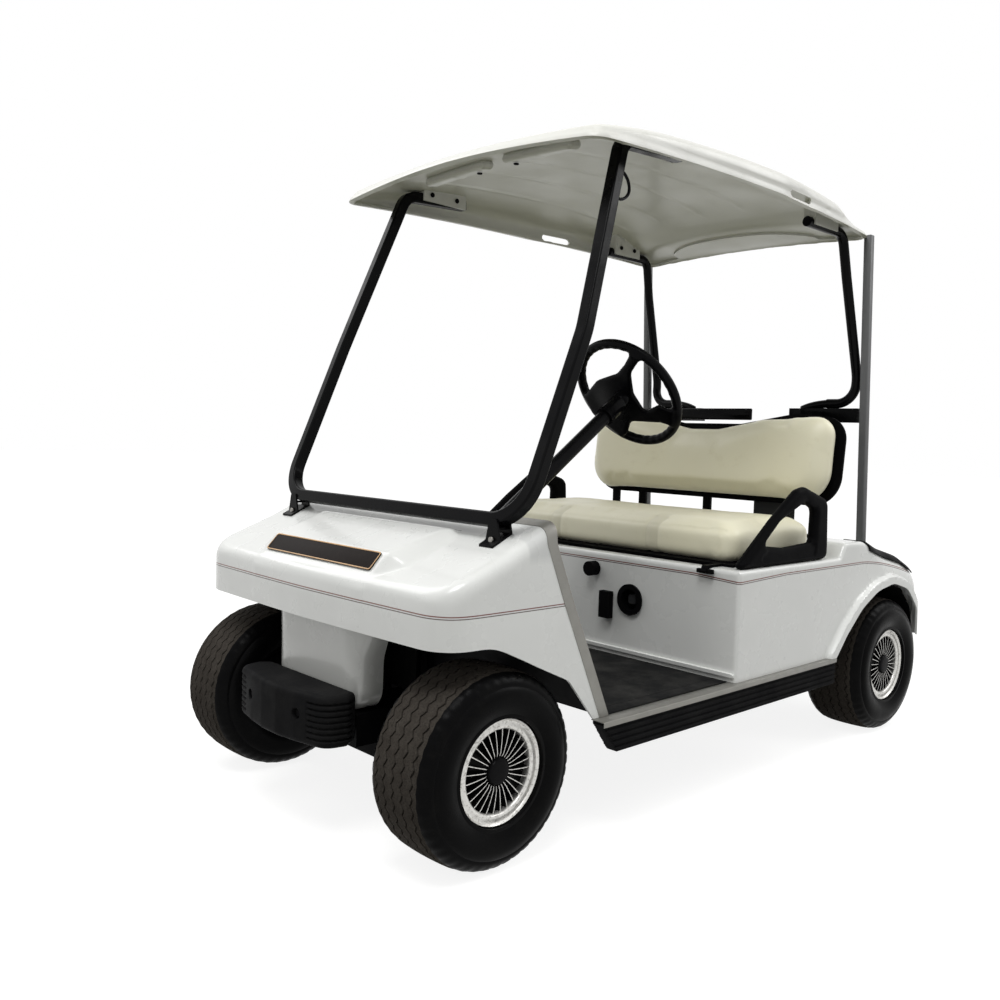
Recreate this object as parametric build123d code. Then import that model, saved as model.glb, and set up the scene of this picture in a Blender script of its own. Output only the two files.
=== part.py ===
"""Two-seat electric golf cart with a canopy, windscreen frame, bench seat and bag deck.

Millimetres.  +Z is up, the front faces -Y and the driver sits on the +X side.  The origin is on the ground, under the
middle of the overall length and width.  Every node is one STEP file in parts/.
"""

import math
import os

from build123d import *

os.makedirs("parts", exist_ok=True)

# ---------------------------------------------------------------- driving sizes
# running gear
WHEELBASE = 1664
FRONT_OVERHANG = 270  # front axle to the bumper's face
REAR_OVERHANG = 346  # rear axle to the rear bumper's face
TRACK_FRONT = 876
TRACK_REAR = 978
TYRE_RADIUS = 218
TYRE_WIDTH = 216
RIM_RADIUS = 101.4
KINGPIN_X = TRACK_FRONT / 2 - 138
KINGPIN_RADIUS = 10
SPINDLE_RADIUS = 15
STEERING_ARM = 110
FIT = 0.05  # radial clearance of a pin in its bore
SEAT = 0.3  # gap between two pieces that rest on each other

# heights of the chassis
FLOOR_Z = 292  # top of the floor pan
PAN = 8  # floor pan thickness
MAT = 5
RAIL_HEIGHT = 75
RAIL_WIDTH = 50
RAIL_X = 150
RAIL_KICK = 70  # rise of the rails over the rear axle

# front cowl
COWL_WALL = 6
COWL_NOSE = 1056  # nose distance ahead of the origin
COWL_STRIPE_HALF = 531  # half-width at the stripe
COWL_FOOT_HALF = 560
COWL_LOWER_Z = 489
STRIPE_Z = 560

# footwell and rear body
KICK_Y = -77
BODY_HALF = 575
BODY_WALL = 8
BODY_TOP = 592
DECK_TOP = 637
BODY_END = 1085
WELL_HALF = 340  # inside half-width of the bag well
WELL_FRONT = 640
WELL_FLOOR = 420

# seat
CUSHION_HALF = 520
CUSHION_FRONT = -24
CUSHION_BACK = 462
CUSHION_HEIGHT = 104
SEAT_BOARD = 7
HINGE_Y = -88
HINGE_Z = 584
HINGE_X = 470

# canopy
CANOPY_FRONT = -655
CANOPY_BACK = 771
CANOPY_HALF_FRONT = 518
CANOPY_WAIST = 420  # where the roof begins to narrow to the rear
CANOPY_HALF_WAIST = 497
CANOPY_HALF_BACK = 476
CANOPY_CROWN = 1740
CANOPY_RISE = 80  # from the rim's lower edge, taken in the middle of the roof, up to the crown
CANOPY_WALL = 6
CANOPY_RIM = 14
CANOPY_ROLL = 34  # radius of the roof's rolled edge
HOLD_Y = 262  # middle of the hand-hold in each side of the rim
HOLD_LENGTH = 130
HOLD_HEIGHT = 20
TUBE = 32  # width of the canopy frame tubes

# steering wheel
WHEEL_CENTRE = Vector(230, -153, 1065)
COLUMN_ANGLE = 36  # column above horizontal
WHEEL_RIM_RADIUS = 161
WHEEL_GRIP = 14

# ---------------------------------------------------------------- worked-out places
LENGTH = FRONT_OVERHANG + WHEELBASE + REAR_OVERHANG
FRONT_AXLE_Y = -LENGTH / 2 + FRONT_OVERHANG
REAR_AXLE_Y = FRONT_AXLE_Y + WHEELBASE
AXLE_Z = TYRE_RADIUS
RAIL_TOP = FLOOR_Z - PAN
WHEELS = {  # name: (centre x, centre y)
    "front_left": (TRACK_FRONT / 2, FRONT_AXLE_Y),
    "front_right": (-TRACK_FRONT / 2, FRONT_AXLE_Y),
    "rear_left": (TRACK_REAR / 2, REAR_AXLE_Y),
    "rear_right": (-TRACK_REAR / 2, REAR_AXLE_Y),
}
SIDES = (("left", 1), ("right", -1))
OUTSIDE = BODY_HALF + 75  # half-width that takes in the whole cart


# ---------------------------------------------------------------- building helpers
def block(x0, x1, y0, y1, z0, z1):
    """Box between two corners."""
    return Pos((x0 + x1) / 2, (y0 + y1) / 2, (z0 + z1) / 2) * Box(x1 - x0, y1 - y0, z1 - z0)


def closed_face(points, radii=0.0):
    """Flat face inside a closed outline whose corners have the given radii."""
    return make_face(FilletPolyline(*[Vector(u, v) for u, v in points], radius=radii, close=True))


def side_slab(face, x0, x1):
    """Prism of a (y, z) face between two x planes."""
    placed = Plane(origin=(x0, 0, 0), x_dir=(0, 1, 0), z_dir=(1, 0, 0)) * face
    return extrude(placed, amount=x1 - x0, dir=(1, 0, 0))


def front_slab(face, y0, y1):
    """Prism of an (x, z) face between two y planes."""
    placed = Plane(origin=(0, y0, 0), x_dir=(1, 0, 0), z_dir=(0, -1, 0)) * face
    return extrude(placed, amount=y1 - y0, dir=(0, 1, 0))


def plan_slab(face, z0, z1):
    """Prism of an (x, y) face between two heights."""
    return extrude(Pos(0, 0, z0) * face, amount=z1 - z0, dir=(0, 0, 1))


def mirrored(shape):
    """The same piece on the other side of the cart."""
    return mirror(shape, about=Plane.YZ)


def both(shape):
    """A piece and its mirror image, as separate solids."""
    return Compound(children=[*shape.solids(), *mirrored(shape).solids()])


def rod(start, end, radius):
    """Round bar between two points."""
    start, end = Vector(start), Vector(end)
    axis = Plane(origin=start, z_dir=end - start)
    return axis * extrude(Circle(radius), amount=(end - start).length)


def square_bar(start, end, width):
    """Square bar between two points, two of its faces upright."""
    start, end = Vector(start), Vector(end)
    axis = Plane(origin=start, x_dir=(1, 0, 0), z_dir=end - start)
    return axis * extrude(Rectangle(width, width), amount=(end - start).length)


def x_disc(x0, x1, y, z, radius):
    """Disc about an axis along X."""
    return rod((min(x0, x1), y, z), (max(x0, x1), y, z), radius)


def tube_run(points, radii, section):
    """Section swept along straight runs joined by arcs."""
    path = FilletPolyline(*[Vector(*p) for p in points], radius=radii)
    start = Plane(origin=path @ 0, x_dir=(1, 0, 0), z_dir=path % 0)
    return sweep(start * section, path=path)


def strip_face(points, thickness):
    """Face of a bent sheet: an open outline and the same outline moved sideways by the thickness."""
    moved = []
    for i, (u, v) in enumerate(points):
        before = Vector(*points[i]) - Vector(*points[i - 1]) if i else None
        after = Vector(*points[i + 1]) - Vector(*points[i]) if i < len(points) - 1 else None
        normals = [Vector(-d.Y, d.X).normalized() for d in (before, after) if d is not None]
        bisector = sum(normals[1:], normals[0]).normalized()
        moved.append(Vector(u, v) + bisector * (thickness / bisector.dot(normals[0])))
    return make_face(Polyline(*[Vector(*p) for p in points], *reversed(moved), close=True))


# ---------------------------------------------------------------- wheels
def tyre(x, y):
    """Low, wide tyre with a crowned tread and rounded shoulders."""
    half = TYRE_WIDTH / 2
    bead, shoulder = half - 24, TYRE_RADIUS - 12
    section = [  # (across, out) from bead to bead
        (-bead, RIM_RADIUS + 0.2),
        (-half + 20, RIM_RADIUS + 15),
        (-half, (RIM_RADIUS + TYRE_RADIUS) / 2),
        (-half + 8, shoulder - 14),
        (-half + 26, shoulder + 5),
        (0, TYRE_RADIUS),
        (half - 26, shoulder + 5),
        (half - 8, shoulder - 14),
        (half, (RIM_RADIUS + TYRE_RADIUS) / 2),
        (half - 20, RIM_RADIUS + 15),
        (bead, RIM_RADIUS + 0.2),
    ]
    rounding = [0, 10, 40, 20, 12, 0, 12, 20, 40, 10, 0]
    wheel_plane = Plane(origin=(x, y, AXLE_Z), x_dir=(1, 0, 0), z_dir=(0, -1, 0))
    profile = wheel_plane * closed_face(section, rounding)
    return revolve(profile, axis=Axis((x, y, AXLE_Z), (1, 0, 0)))


FIN_COUNT = 28
FIN_INNER = 33
FIN_OUTER = 87
FIN_THICK = 4
FIN_HEIGHT = 16
CAP_RADIUS = 24
COVER_FLOOR = 36  # depth of the wheel cover's floor below its ring


def rim(x, y):
    """Steel rim with its hub, and a finned cover on the outside: ring, dished floor, radial fins and centre cap."""
    out = math.copysign(1, x)
    ring_outer = RIM_RADIUS + 14
    half = TYRE_WIDTH / 2 - 16
    floor = half - COVER_FLOOR
    section = [  # (outboard from the tyre's centre, radius)
        (-half, RIM_RADIUS - 7),
        (-half, ring_outer),
        (-half + 3, ring_outer),
        (-half + 3, RIM_RADIUS),
        (half - 3, RIM_RADIUS),
        (half - 3, ring_outer),
        (half, ring_outer),
        (half, RIM_RADIUS - 8),
        (half - 8, RIM_RADIUS - 12),
        (floor, FIN_OUTER + 2),
        (floor, CAP_RADIUS + 5),
        (half - 20, CAP_RADIUS),
        (half - 14, 0),
        (floor + 2, 0),
        (floor + 2, SPINDLE_RADIUS + 14),
        (half - 40, SPINDLE_RADIUS + 14),
        (half - 40, SPINDLE_RADIUS + FIT),
        (-60, SPINDLE_RADIUS + FIT),
        (-60, 38),
        (half - 56, 38),
        (floor - 8, 84),
        (half - 26, RIM_RADIUS - 7),
    ]
    wheel_plane = Plane(origin=(x, y, AXLE_Z), x_dir=(out, 0, 0), z_dir=(0, -out, 0))
    profile = wheel_plane * make_face(Polyline(*[Vector(*p) for p in section], close=True))
    wheel = revolve(profile, axis=Axis((x, y, AXLE_Z), (1, 0, 0)))
    fin = Pos((FIN_INNER + FIN_OUTER) / 2, 0, floor - 1) * Box(
        FIN_OUTER - FIN_INNER, FIN_THICK, FIN_HEIGHT + 1, align=(Align.CENTER, Align.CENTER, Align.MIN)
    )
    axle = Plane(origin=(x, y, AXLE_Z), x_dir=(0, 1, 0), z_dir=(out, 0, 0))
    return wheel + [axle * Rot(0, 0, turn * 360 / FIN_COUNT) * fin for turn in range(FIN_COUNT)]


# ---------------------------------------------------------------- front running gear
HUB_INNER = 60  # hub's inner end, inboard of the tyre's centre
HUB_OUTER = TYRE_WIDTH / 2 - 16 - 40  # spindle's free end plane, outboard of the tyre's centre
BEAM_Z = 140  # underside of the front beam
BEAM_HEIGHT = 24
EAR_TOP = 296
SLEEVE_RADIUS = 24


def front_axle():
    """Cross beam with a yoke and a kingpin at each end."""
    y, z = FRONT_AXLE_Y, BEAM_Z
    beam = block(-KINGPIN_X, KINGPIN_X, y - 20, y + 20, z, z + BEAM_HEIGHT)
    for _, side in SIDES:
        pin_x = side * KINGPIN_X
        upper = sorted((side * (RAIL_X + RAIL_WIDTH / 2), pin_x))
        web = sorted((side * (KINGPIN_X - 108), side * (KINGPIN_X - 90)))
        beam += rod((pin_x, y, z), (pin_x, y, z + BEAM_HEIGHT), 26)
        beam += rod((pin_x, y, EAR_TOP - 20), (pin_x, y, EAR_TOP), 26)
        beam += rod((pin_x, y, z), (pin_x, y, EAR_TOP), KINGPIN_RADIUS)
        beam += block(*upper, y - 20, y + 20, EAR_TOP - 20, EAR_TOP)
        beam += block(*web, y - 20, y + 20, z, EAR_TOP)
    return beam


def knuckle(side):
    """Sleeve on the kingpin, stub axle for the wheel and steering arm."""
    y = FRONT_AXLE_Y
    pin_x = side * KINGPIN_X
    wheel_x = side * TRACK_FRONT / 2
    low, high = BEAM_Z + BEAM_HEIGHT + SEAT, EAR_TOP - 20 - SEAT
    part = rod((pin_x, y, low), (pin_x, y, high), SLEEVE_RADIUS)
    part += x_disc(pin_x, wheel_x - side * (HUB_INNER + SEAT), y, AXLE_Z, SPINDLE_RADIUS + 8)
    part += x_disc(pin_x, wheel_x + side * (HUB_OUTER + SEAT), y, AXLE_Z, SPINDLE_RADIUS)
    part += x_disc(wheel_x + side * (HUB_OUTER + SEAT), wheel_x + side * (HUB_OUTER + 5), y, AXLE_Z, SPINDLE_RADIUS + 8)
    part += block(pin_x - 12, pin_x + 12, y, y + STEERING_ARM, low + 8, low + 22)
    part += rod((pin_x, y + STEERING_ARM, low + 8), (pin_x, y + STEERING_ARM, low + 22), 16)
    part -= rod((pin_x, y, low - 1), (pin_x, y, high + 1), KINGPIN_RADIUS + FIT)
    hole = BALL_RADIUS + (FIT if side > 0 else OPEN_PIVOT)
    part -= rod((pin_x, y + STEERING_ARM, low), (pin_x, y + STEERING_ARM, high), hole)
    return part


BALL_RADIUS = 6
OPEN_PIVOT = 0.8  # clearance of the tie rod's right-hand end


def tie_rod():
    """Track rod under the two steering arms, a stud at each end."""
    y = FRONT_AXLE_Y + STEERING_ARM
    arm_low = BEAM_Z + BEAM_HEIGHT + SEAT + 8
    z = arm_low - SEAT - 9
    part = rod((-KINGPIN_X, y, z), (KINGPIN_X, y, z), 7)
    for _, side in SIDES:
        part += rod((side * KINGPIN_X, y, z - 9), (side * KINGPIN_X, y, z + 9), 13)
        part += rod((side * KINGPIN_X, y, z), (side * KINGPIN_X, y, arm_low + 20), BALL_RADIUS)
    return part


def front_leaf_spring():
    """Transverse stack of leaves lying on the beam."""
    y, z = FRONT_AXLE_Y, BEAM_Z + BEAM_HEIGHT
    stack = block(-185, 185, y - 20, y + 20, z, z + 7)
    stack += block(-150, 150, y - 20, y + 20, z + 7, z + 14)
    stack += block(-110, 110, y - 20, y + 20, z + 14, z + 21)
    return stack


def front_shocks():
    """Two telescopic dampers from the beam up to the front hoop."""
    foot = Vector(232, FRONT_AXLE_Y + 20 + 20 + SEAT, BEAM_Z)
    top = Vector(RAIL_X + RAIL_WIDTH / 2 + 10 + SEAT, HOOP_Y, 470)
    middle = foot + (top - foot) * 0.45
    return both(rod(foot, middle, 18) + rod(middle, top, 9.5))


# ---------------------------------------------------------------- chassis
HOOP_Y = -800  # front hoop that carries cowl, windscreen frame and column
HOOP_TOP = 660


def chassis_frame():
    """Two box rails that rise over the rear axle, cross members and the front hoop."""
    low = RAIL_TOP - RAIL_HEIGHT
    kick_start, kick_end = REAR_AXLE_Y - 260, REAR_AXLE_Y - 120
    side_view = [
        (-1000, low),
        (kick_start, low),
        (kick_end, low + RAIL_KICK),
        (BODY_END - 50, low + RAIL_KICK),
        (BODY_END - 50, RAIL_TOP + RAIL_KICK),
        (kick_end, RAIL_TOP + RAIL_KICK),
        (kick_start, RAIL_TOP),
        (-1000, RAIL_TOP),
    ]
    rail = side_slab(closed_face(side_view), RAIL_X - RAIL_WIDTH / 2, RAIL_X + RAIL_WIDTH / 2)
    frame = rail + mirrored(rail)
    inner = RAIL_X - RAIL_WIDTH / 2
    for y, rise in ((-985, 0), (-520, 0), (-20, 0), (460, 0), (BODY_END - 70, RAIL_KICK)):
        frame += block(-inner, inner, y - 20, y + 20, low + rise + 10, RAIL_TOP + rise)
    for y in (-400, 60, 400):
        frame += block(-SILL_INNER, SILL_INNER, y - 18, y + 18, RAIL_TOP - 40, RAIL_TOP)
    for _, side in SIDES:
        post = sorted((side * inner, side * (inner + RAIL_WIDTH)))
        frame += block(*post, HOOP_Y - 18, HOOP_Y + 18, RAIL_TOP, HOOP_TOP)
    frame += block(-450, 450, HOOP_Y - 18, HOOP_Y + 18, HOOP_TOP - 36, HOOP_TOP)
    return frame


def floor_pan():
    """Footwell floor and the sloping toe board, one bent sheet."""
    path = [(KICK_Y + BODY_WALL + 1, RAIL_TOP), (-560, RAIL_TOP), (-716, 600)]
    return side_slab(strip_face(path, -PAN), -520, 520)


def floor_mat():
    """Ribbed rubber mat on the floor and up the toe board."""
    path = [(KICK_Y - 18, FLOOR_Z), (-552, FLOOR_Z), (-640, 470)]
    return side_slab(strip_face(path, -MAT), -515, 515)


# ---------------------------------------------------------------- front cowl
def cowl_block(inset):
    """The cowl's full outer form, moved inwards by the inset."""
    side_view = [
        (-COWL_NOSE + 8, 150),
        (-COWL_NOSE, STRIPE_Z),
        (-COWL_NOSE + 14, 604),
        (-967, 637),
        (-848, 686),
        (-730, 744),
        (-480, 800),
        (-480, 150),
    ]
    front_view = [
        (-COWL_FOOT_HALF - 16, 150),
        (-COWL_STRIPE_HALF, STRIPE_Z),
        (-COWL_STRIPE_HALF + 18, 850),
        (COWL_STRIPE_HALF - 18, 850),
        (COWL_STRIPE_HALF, STRIPE_Z),
        (COWL_FOOT_HALF + 16, 150),
    ]
    plan = [
        (-COWL_FOOT_HALF - 16, -480),
        (-COWL_STRIPE_HALF - 6, -COWL_NOSE + 24),
        (0, -COWL_NOSE),
        (COWL_STRIPE_HALF + 6, -COWL_NOSE + 24),
        (COWL_FOOT_HALF + 16, -480),
    ]
    side_face = offset(closed_face(side_view, [0, 60, 30, 60, 120, 90, 0, 0]), -inset)
    front_face = offset(closed_face(front_view, [0, 90, 0, 0, 90, 0]), -inset)
    plan_face = offset(closed_face(plan, [0, 105, 900, 105, 0]), -inset)
    form = side_slab(side_face, -600, 600) & front_slab(front_face, -1100, -400)
    return form & plan_slab(plan_face, 100, 900)


def cowl_lower_edge(drop):
    """(y, z) points along the cowl's lower edge: nose, wheel arch, foot."""
    return [
        (-1200, COWL_LOWER_Z - drop),
        (-905, COWL_LOWER_Z + 4 - drop),
        (-690, 392 - drop),
        (-606, 283 - drop),
    ]


COWL_REAR = [(-560, 283), (-716, 700), (-716, 760), (-694, 900)]  # rear edge in side view
TRIM_WIDTH = 30


def cowl_trim_face(back):
    """Side view of what the cowl covers; back moves the rear edge forward."""
    lower = cowl_lower_edge(0)
    rear = [(y - back, z) for y, z in COWL_REAR]
    return closed_face([*lower, *rear, (-1200, 900)], [0, 150, 0, 0, 0, 25, 0, 0, 0])


def front_cowl():
    """Moulded nose: thin shell, open below and behind, with a raised centre panel."""
    shell = cowl_block(0)
    panel = [(-1046, 600), (-1014, 622), (-976, 664), (-736, 745), (-736, 600)]
    plan = [(-262, -1060), (-300, -736), (300, -736), (262, -1060)]
    raised = side_slab(closed_face(panel, [0, 20, 14, 0, 0]), -400, 400) & plan_slab(closed_face(plan), 500, 800)
    shell = shell + raised
    hollow = cowl_block(COWL_WALL) + Pos(0, 4, -COWL_WALL - 1) * raised
    shell = shell - hollow
    shell = shell & side_slab(cowl_trim_face(TRIM_WIDTH), -600, 600)
    return largest(shell & above_sills())


def above_sills():
    """Space over the sills, where the cowl's foot stands."""
    return block(-OUTSIDE, OUTSIDE, -LENGTH, 0, FLOOR_Z + SEAT, CANOPY_CROWN)


def largest(shape):
    """The biggest solid of a shape."""
    return max(shape.solids(), key=lambda s: s.volume)


def cowl_edge_trim():
    """Aluminium strip that closes the cowl's rear edge, up both sides and across the top."""
    band = cowl_block(-1) - cowl_block(COWL_WALL)
    keep = cowl_trim_face(0) - cowl_trim_face(TRIM_WIDTH - SEAT)
    keep = side_slab(keep, -OUTSIDE, OUTSIDE)
    return largest(band & keep & above_sills())


def dash_panel():
    """Instrument panel under the cowl's rear edge."""
    face = strip_face([(-716, 600), (-730, 640), (-722, 716)], 7)
    panel = side_slab(face, -500, 500)
    return panel - rod(column_point(-760), column_point(-300), 20 + SEAT)


def name_plate():
    """Bare plate on the slope of the raised centre panel."""
    plate = block(-232, 232, -24, 27, SEAT, 4)
    return Pos(0, -995, 643) * Rot(48, 0, 0) * plate


def front_skirt():
    """Lower front panel between the front wheels."""
    outline = [(-215, 283), (215, 283), (244, COWL_LOWER_Z + 40), (-244, COWL_LOWER_Z + 40)]
    front = front_slab(closed_face(outline, [70, 70, 0, 0]), -1011, -880)
    plan = [(-250, -880), (-250, -1011), (250, -1011), (250, -880)]
    skirt = front & plan_slab(closed_face(plan, [0, 60, 60, 0]), 200, 600)
    hollow = block(-600, 600, -1005, -870, 200, 600)
    side_hollow = Pos(0, 6, 0) * skirt
    return largest(skirt - (side_hollow & hollow))


BUMPER_LOW = 225
BUMPER_HIGH = 345
BUMPER_BOLT_X = 105
RIB_START = 140  # the face is plain between the two ribbed ends


def front_bumper():
    """Rubber bumper with a plain face between ribbed ends that sweep back, bolted through two recesses."""
    plan = [
        (-228, -1056),
        (-215, -1128),
        (0, -LENGTH / 2),
        (215, -1128),
        (228, -1056),
        (190, -1011 - SEAT),
        (-190, -1011 - SEAT),
    ]
    rounding = [10, 40, 900, 40, 10, 0, 0]
    bumper = plan_slab(closed_face(plan, rounding), BUMPER_LOW, BUMPER_HIGH)
    inner = plan_slab(closed_face(inset_points(plan, 6), rounding), BUMPER_LOW - 1, BUMPER_HIGH + 1)
    pitch = (BUMPER_HIGH - BUMPER_LOW) / 9
    for row in range(1, 8):
        z = BUMPER_LOW + (row + 0.5) * pitch
        groove = block(RIB_START, OUTSIDE, -LENGTH, -1011 - 10, z - 3, z + 3) - inner
        bumper -= groove + mirrored(groove)
    middle = (BUMPER_LOW + BUMPER_HIGH) / 2 + 8
    for _, side in SIDES:
        x = side * BUMPER_BOLT_X
        bumper -= rod((x, -LENGTH / 2 - 10, middle), (x, -1011, middle), 6)
        bumper -= rod((x, -LENGTH / 2 - 10, middle), (x, -LENGTH / 2 + 14, middle), 13)
    return largest(bumper)


def inset_points(points, amount):
    """The same outline drawn back from the front by an amount."""
    return [(x * (1 - amount / 228), y + amount) for x, y in points]


# ---------------------------------------------------------------- rear body
ARCH = [  # (y, z) of the rear wheel opening
    (436, 290),
    (500, 356),
    (590, 428),
    (690, 474),
    (800, 490),
    (905, 462),
    (985, 385),
    (1010, 290),
]
ARCH_RADII = [0, 120, 160, 160, 120, 90, 60, 0]


def arch_face(grow):
    """Rear wheel opening, grown outwards and carried down below the body."""
    face = closed_face([*ARCH, (1010, 200), (436, 200)], [*ARCH_RADII, 0, 0])
    return offset(face, grow) if grow else face


def body_side(inset):
    """Rear body in side view, moved inwards by the inset."""
    side_view = [
        (KICK_Y, 100),
        (KICK_Y, BODY_TOP),
        (468, BODY_TOP),
        (500, DECK_TOP),
        (620, DECK_TOP - 2),
        (900, 570),
        (1060, 510),
        (BODY_END, 430),
        (BODY_END - 12, 100),
    ]
    return offset(closed_face(side_view, [0, 6, 16, 20, 90, 120, 60, 90, 0]), -inset)


def body_block(inset, bottom):
    """Rear body's outer form, moved inwards by the inset and cut off at the bottom height."""
    plan = [(-BODY_HALF, KICK_Y), (BODY_HALF, KICK_Y), (BODY_HALF, BODY_END), (-BODY_HALF, BODY_END)]
    plan_face = offset(closed_face(plan, [10, 10, 120, 120]), -inset)
    return side_slab(body_side(inset), -650, 650) & plan_slab(plan_face, bottom, 800)


def rear_body():
    """Kick panel, sides, fenders and tail as one hollow moulding with the bag well in its top."""
    shell = body_block(0, FLOOR_Z + SEAT) - body_block(BODY_WALL, 50)
    well = block(-WELL_HALF, WELL_HALF, WELL_FRONT, BODY_END - 24, WELL_FLOOR, 800)
    tub = block(
        -WELL_HALF - BODY_WALL, WELL_HALF + BODY_WALL, WELL_FRONT - BODY_WALL, BODY_END - 16, WELL_FLOOR - BODY_WALL, 800
    )
    shell = shell + (tub & body_block(0, 50)) - well
    shell -= block(-480, 480, KICK_Y + 40, 440, BODY_TOP - 30, 800)
    flare = side_slab(arch_face(26) - arch_face(0), BODY_HALF - 8, BODY_HALF + 18)
    flare = flare & block(500, 650, 380, BODY_END, FLOOR_Z + SEAT, 700)
    for piece in (flare, mirrored(flare)):
        shell += piece
    opening = side_slab(arch_face(0), 380, 650)
    shell -= opening + mirrored(opening)
    for x, z, r in ((201, 465, 40), (58, 542, 8)):
        shell -= rod((x, KICK_Y - 20, z), (x, KICK_Y + 20, z), r)
    return largest(shell)


def wheel_liners():
    """Black liners inside the rear fenders."""
    outer = side_slab(arch_face(-SEAT), 368, BODY_HALF - BODY_WALL - 2)
    inner = side_slab(arch_face(-5), 373, 700)
    liner = (outer - inner) & block(300, 700, 300, BODY_END, FLOOR_Z + 1, 700)
    axle_gap = block(300, 380, REAR_AXLE_Y - 70, REAR_AXLE_Y + 70, 200, 330)
    return both(largest(liner - axle_gap))


def bag_deck():
    """Moulded deck on the floor of the bag well."""
    deck = block(-WELL_HALF + 2, WELL_HALF - 2, WELL_FRONT + 2, BODY_END - 26, WELL_FLOOR, WELL_FLOOR + 14)
    for x in (-170, 170):
        deck -= block(x - 120, x + 120, WELL_FRONT + 60, BODY_END - 70, WELL_FLOOR + 8, WELL_FLOOR + 20)
    return deck


def scuff_guards():
    """Black guards on the rear fenders' top edges."""
    band = body_block(-5, 400) - body_block(-SEAT, 350)
    below = Pos(0, 0, -22) * side_slab(body_side(0), -650, 650)
    keep = block(POST_INNER + POST_WIDTH + SEAT, OUTSIDE, WELL_FRONT, BODY_END - 90, WELL_FLOOR + 100, 700)
    return both(largest((band & keep) - below))


def rear_bumper():
    """Rubber bumper across the tail."""
    bar = block(-420, 420, BODY_END - 0.8, LENGTH / 2, 330, 400)
    return fillet(bar.edges().filter_by(Axis.Z).group_by(Axis.Y)[-1], 22)


# ---------------------------------------------------------------- sills
SILL_INNER = BODY_HALF - 54
SILL_OUTER = BODY_HALF + 15
SILL_TOP = FLOOR_Z - 2
SILL_LOW = 213
SILL_FRONT = -620
SILL_BACK = 440


def sills():
    """Ribbed rocker panels along both sides of the floor."""
    sill = block(SILL_INNER, SILL_OUTER, SILL_FRONT, SILL_BACK, SILL_LOW, SILL_TOP)
    for z in (228, 243, 258, 273):
        sill -= block(SILL_OUTER - 5, SILL_OUTER + 5, SILL_FRONT - 1, SILL_BACK + 1, z - 2.5, z + 2.5)
    return both(sill)


def sill_trims():
    """Aluminium cap strips on the sills."""
    trim = block(SILL_INNER, SILL_OUTER, SILL_FRONT, SILL_BACK, SILL_TOP, FLOOR_Z)
    trim += block(SILL_OUTER, SILL_OUTER + 2, SILL_FRONT, SILL_BACK, SILL_TOP - 12, FLOOR_Z)
    return both(trim)


# ---------------------------------------------------------------- seat
def seat_cushion():
    """Bench cushion."""
    low = BODY_TOP + SEAT + SEAT_BOARD
    cushion = block(-CUSHION_HALF, CUSHION_HALF, CUSHION_FRONT, CUSHION_BACK, low, low + CUSHION_HEIGHT)
    upright = cushion.edges().filter_by(Axis.Z)
    cushion = fillet(upright, 50)
    return fillet(cushion.faces().sort_by(Axis.Z)[-1].edges(), 34)


def seat_board():
    """Board under the cushion with a hinge leaf at each end of its front edge."""
    low = BODY_TOP + SEAT
    board = block(-CUSHION_HALF + 6, CUSHION_HALF - 6, CUSHION_FRONT + 4, CUSHION_BACK - 4, low, low + SEAT_BOARD)
    for _, side in SIDES:
        x = side * HINGE_X
        leaf = [
            (CUSHION_FRONT + 10, low),
            (CUSHION_FRONT + 10, low + SEAT_BOARD),
            (HINGE_Y, low + SEAT_BOARD),
            (HINGE_Y - 7, HINGE_Z),
            (HINGE_Y, HINGE_Z - 7),
            (HINGE_Y + 7, HINGE_Z),
            (HINGE_Y + 9, low),
        ]
        board += side_slab(closed_face(leaf), x - 9, x + 9)
        board -= x_disc(x - 10, x + 10, HINGE_Y, HINGE_Z, 3 + FIT)
    return board


def seat_hinges():
    """Fixed brackets on the kick panel with the hinge pins."""
    low, high = HINGE_Z - 30, HINGE_Z + 7
    bracket = block(HINGE_X - 22, HINGE_X + 22, KICK_Y - 3, KICK_Y, low, HINGE_Z - 10)
    for x in (HINGE_X - 16, HINGE_X + 9 + SEAT):
        bracket += block(x, x + 7 - SEAT, HINGE_Y - 8, KICK_Y, low + 6, high)
    bracket += x_disc(HINGE_X - 18, HINGE_X + 18, HINGE_Y, HINGE_Z, 3)
    return both(largest(bracket))


BACK_RECLINE = 7  # degrees
BACK_THICK = 70
BACK_FRONT = 478  # pad's front face at its lower edge
BACK_LOW = 752


def back_outline(inset):
    """Seat back in front view, with two raised shoulders and a dip between."""
    points = [
        (-510, BACK_LOW),
        (510, BACK_LOW),
        (510, 1030),
        (330, 1045),
        (120, 1008),
        (-120, 1008),
        (-330, 1045),
        (-510, 1030),
    ]
    face = closed_face(points, [95, 95, 75, 60, 80, 80, 60, 75])
    return offset(face, -inset) if inset else face


def reclined(shape):
    """Tilt a piece of the seat back about the pad's lower front edge."""
    return Pos(0, BACK_FRONT, BACK_LOW) * Rot(-BACK_RECLINE, 0, 0) * Pos(0, -BACK_FRONT, -BACK_LOW) * shape


def seat_back_pad():
    """Backrest cushion."""
    return reclined(front_slab(back_outline(0), BACK_FRONT, BACK_FRONT + BACK_THICK))


RAIL_BACK = 606  # rear face of the rail along the backrest's top
SUPPORT_X = (-425, -295, 0, 295, 425)


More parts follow.
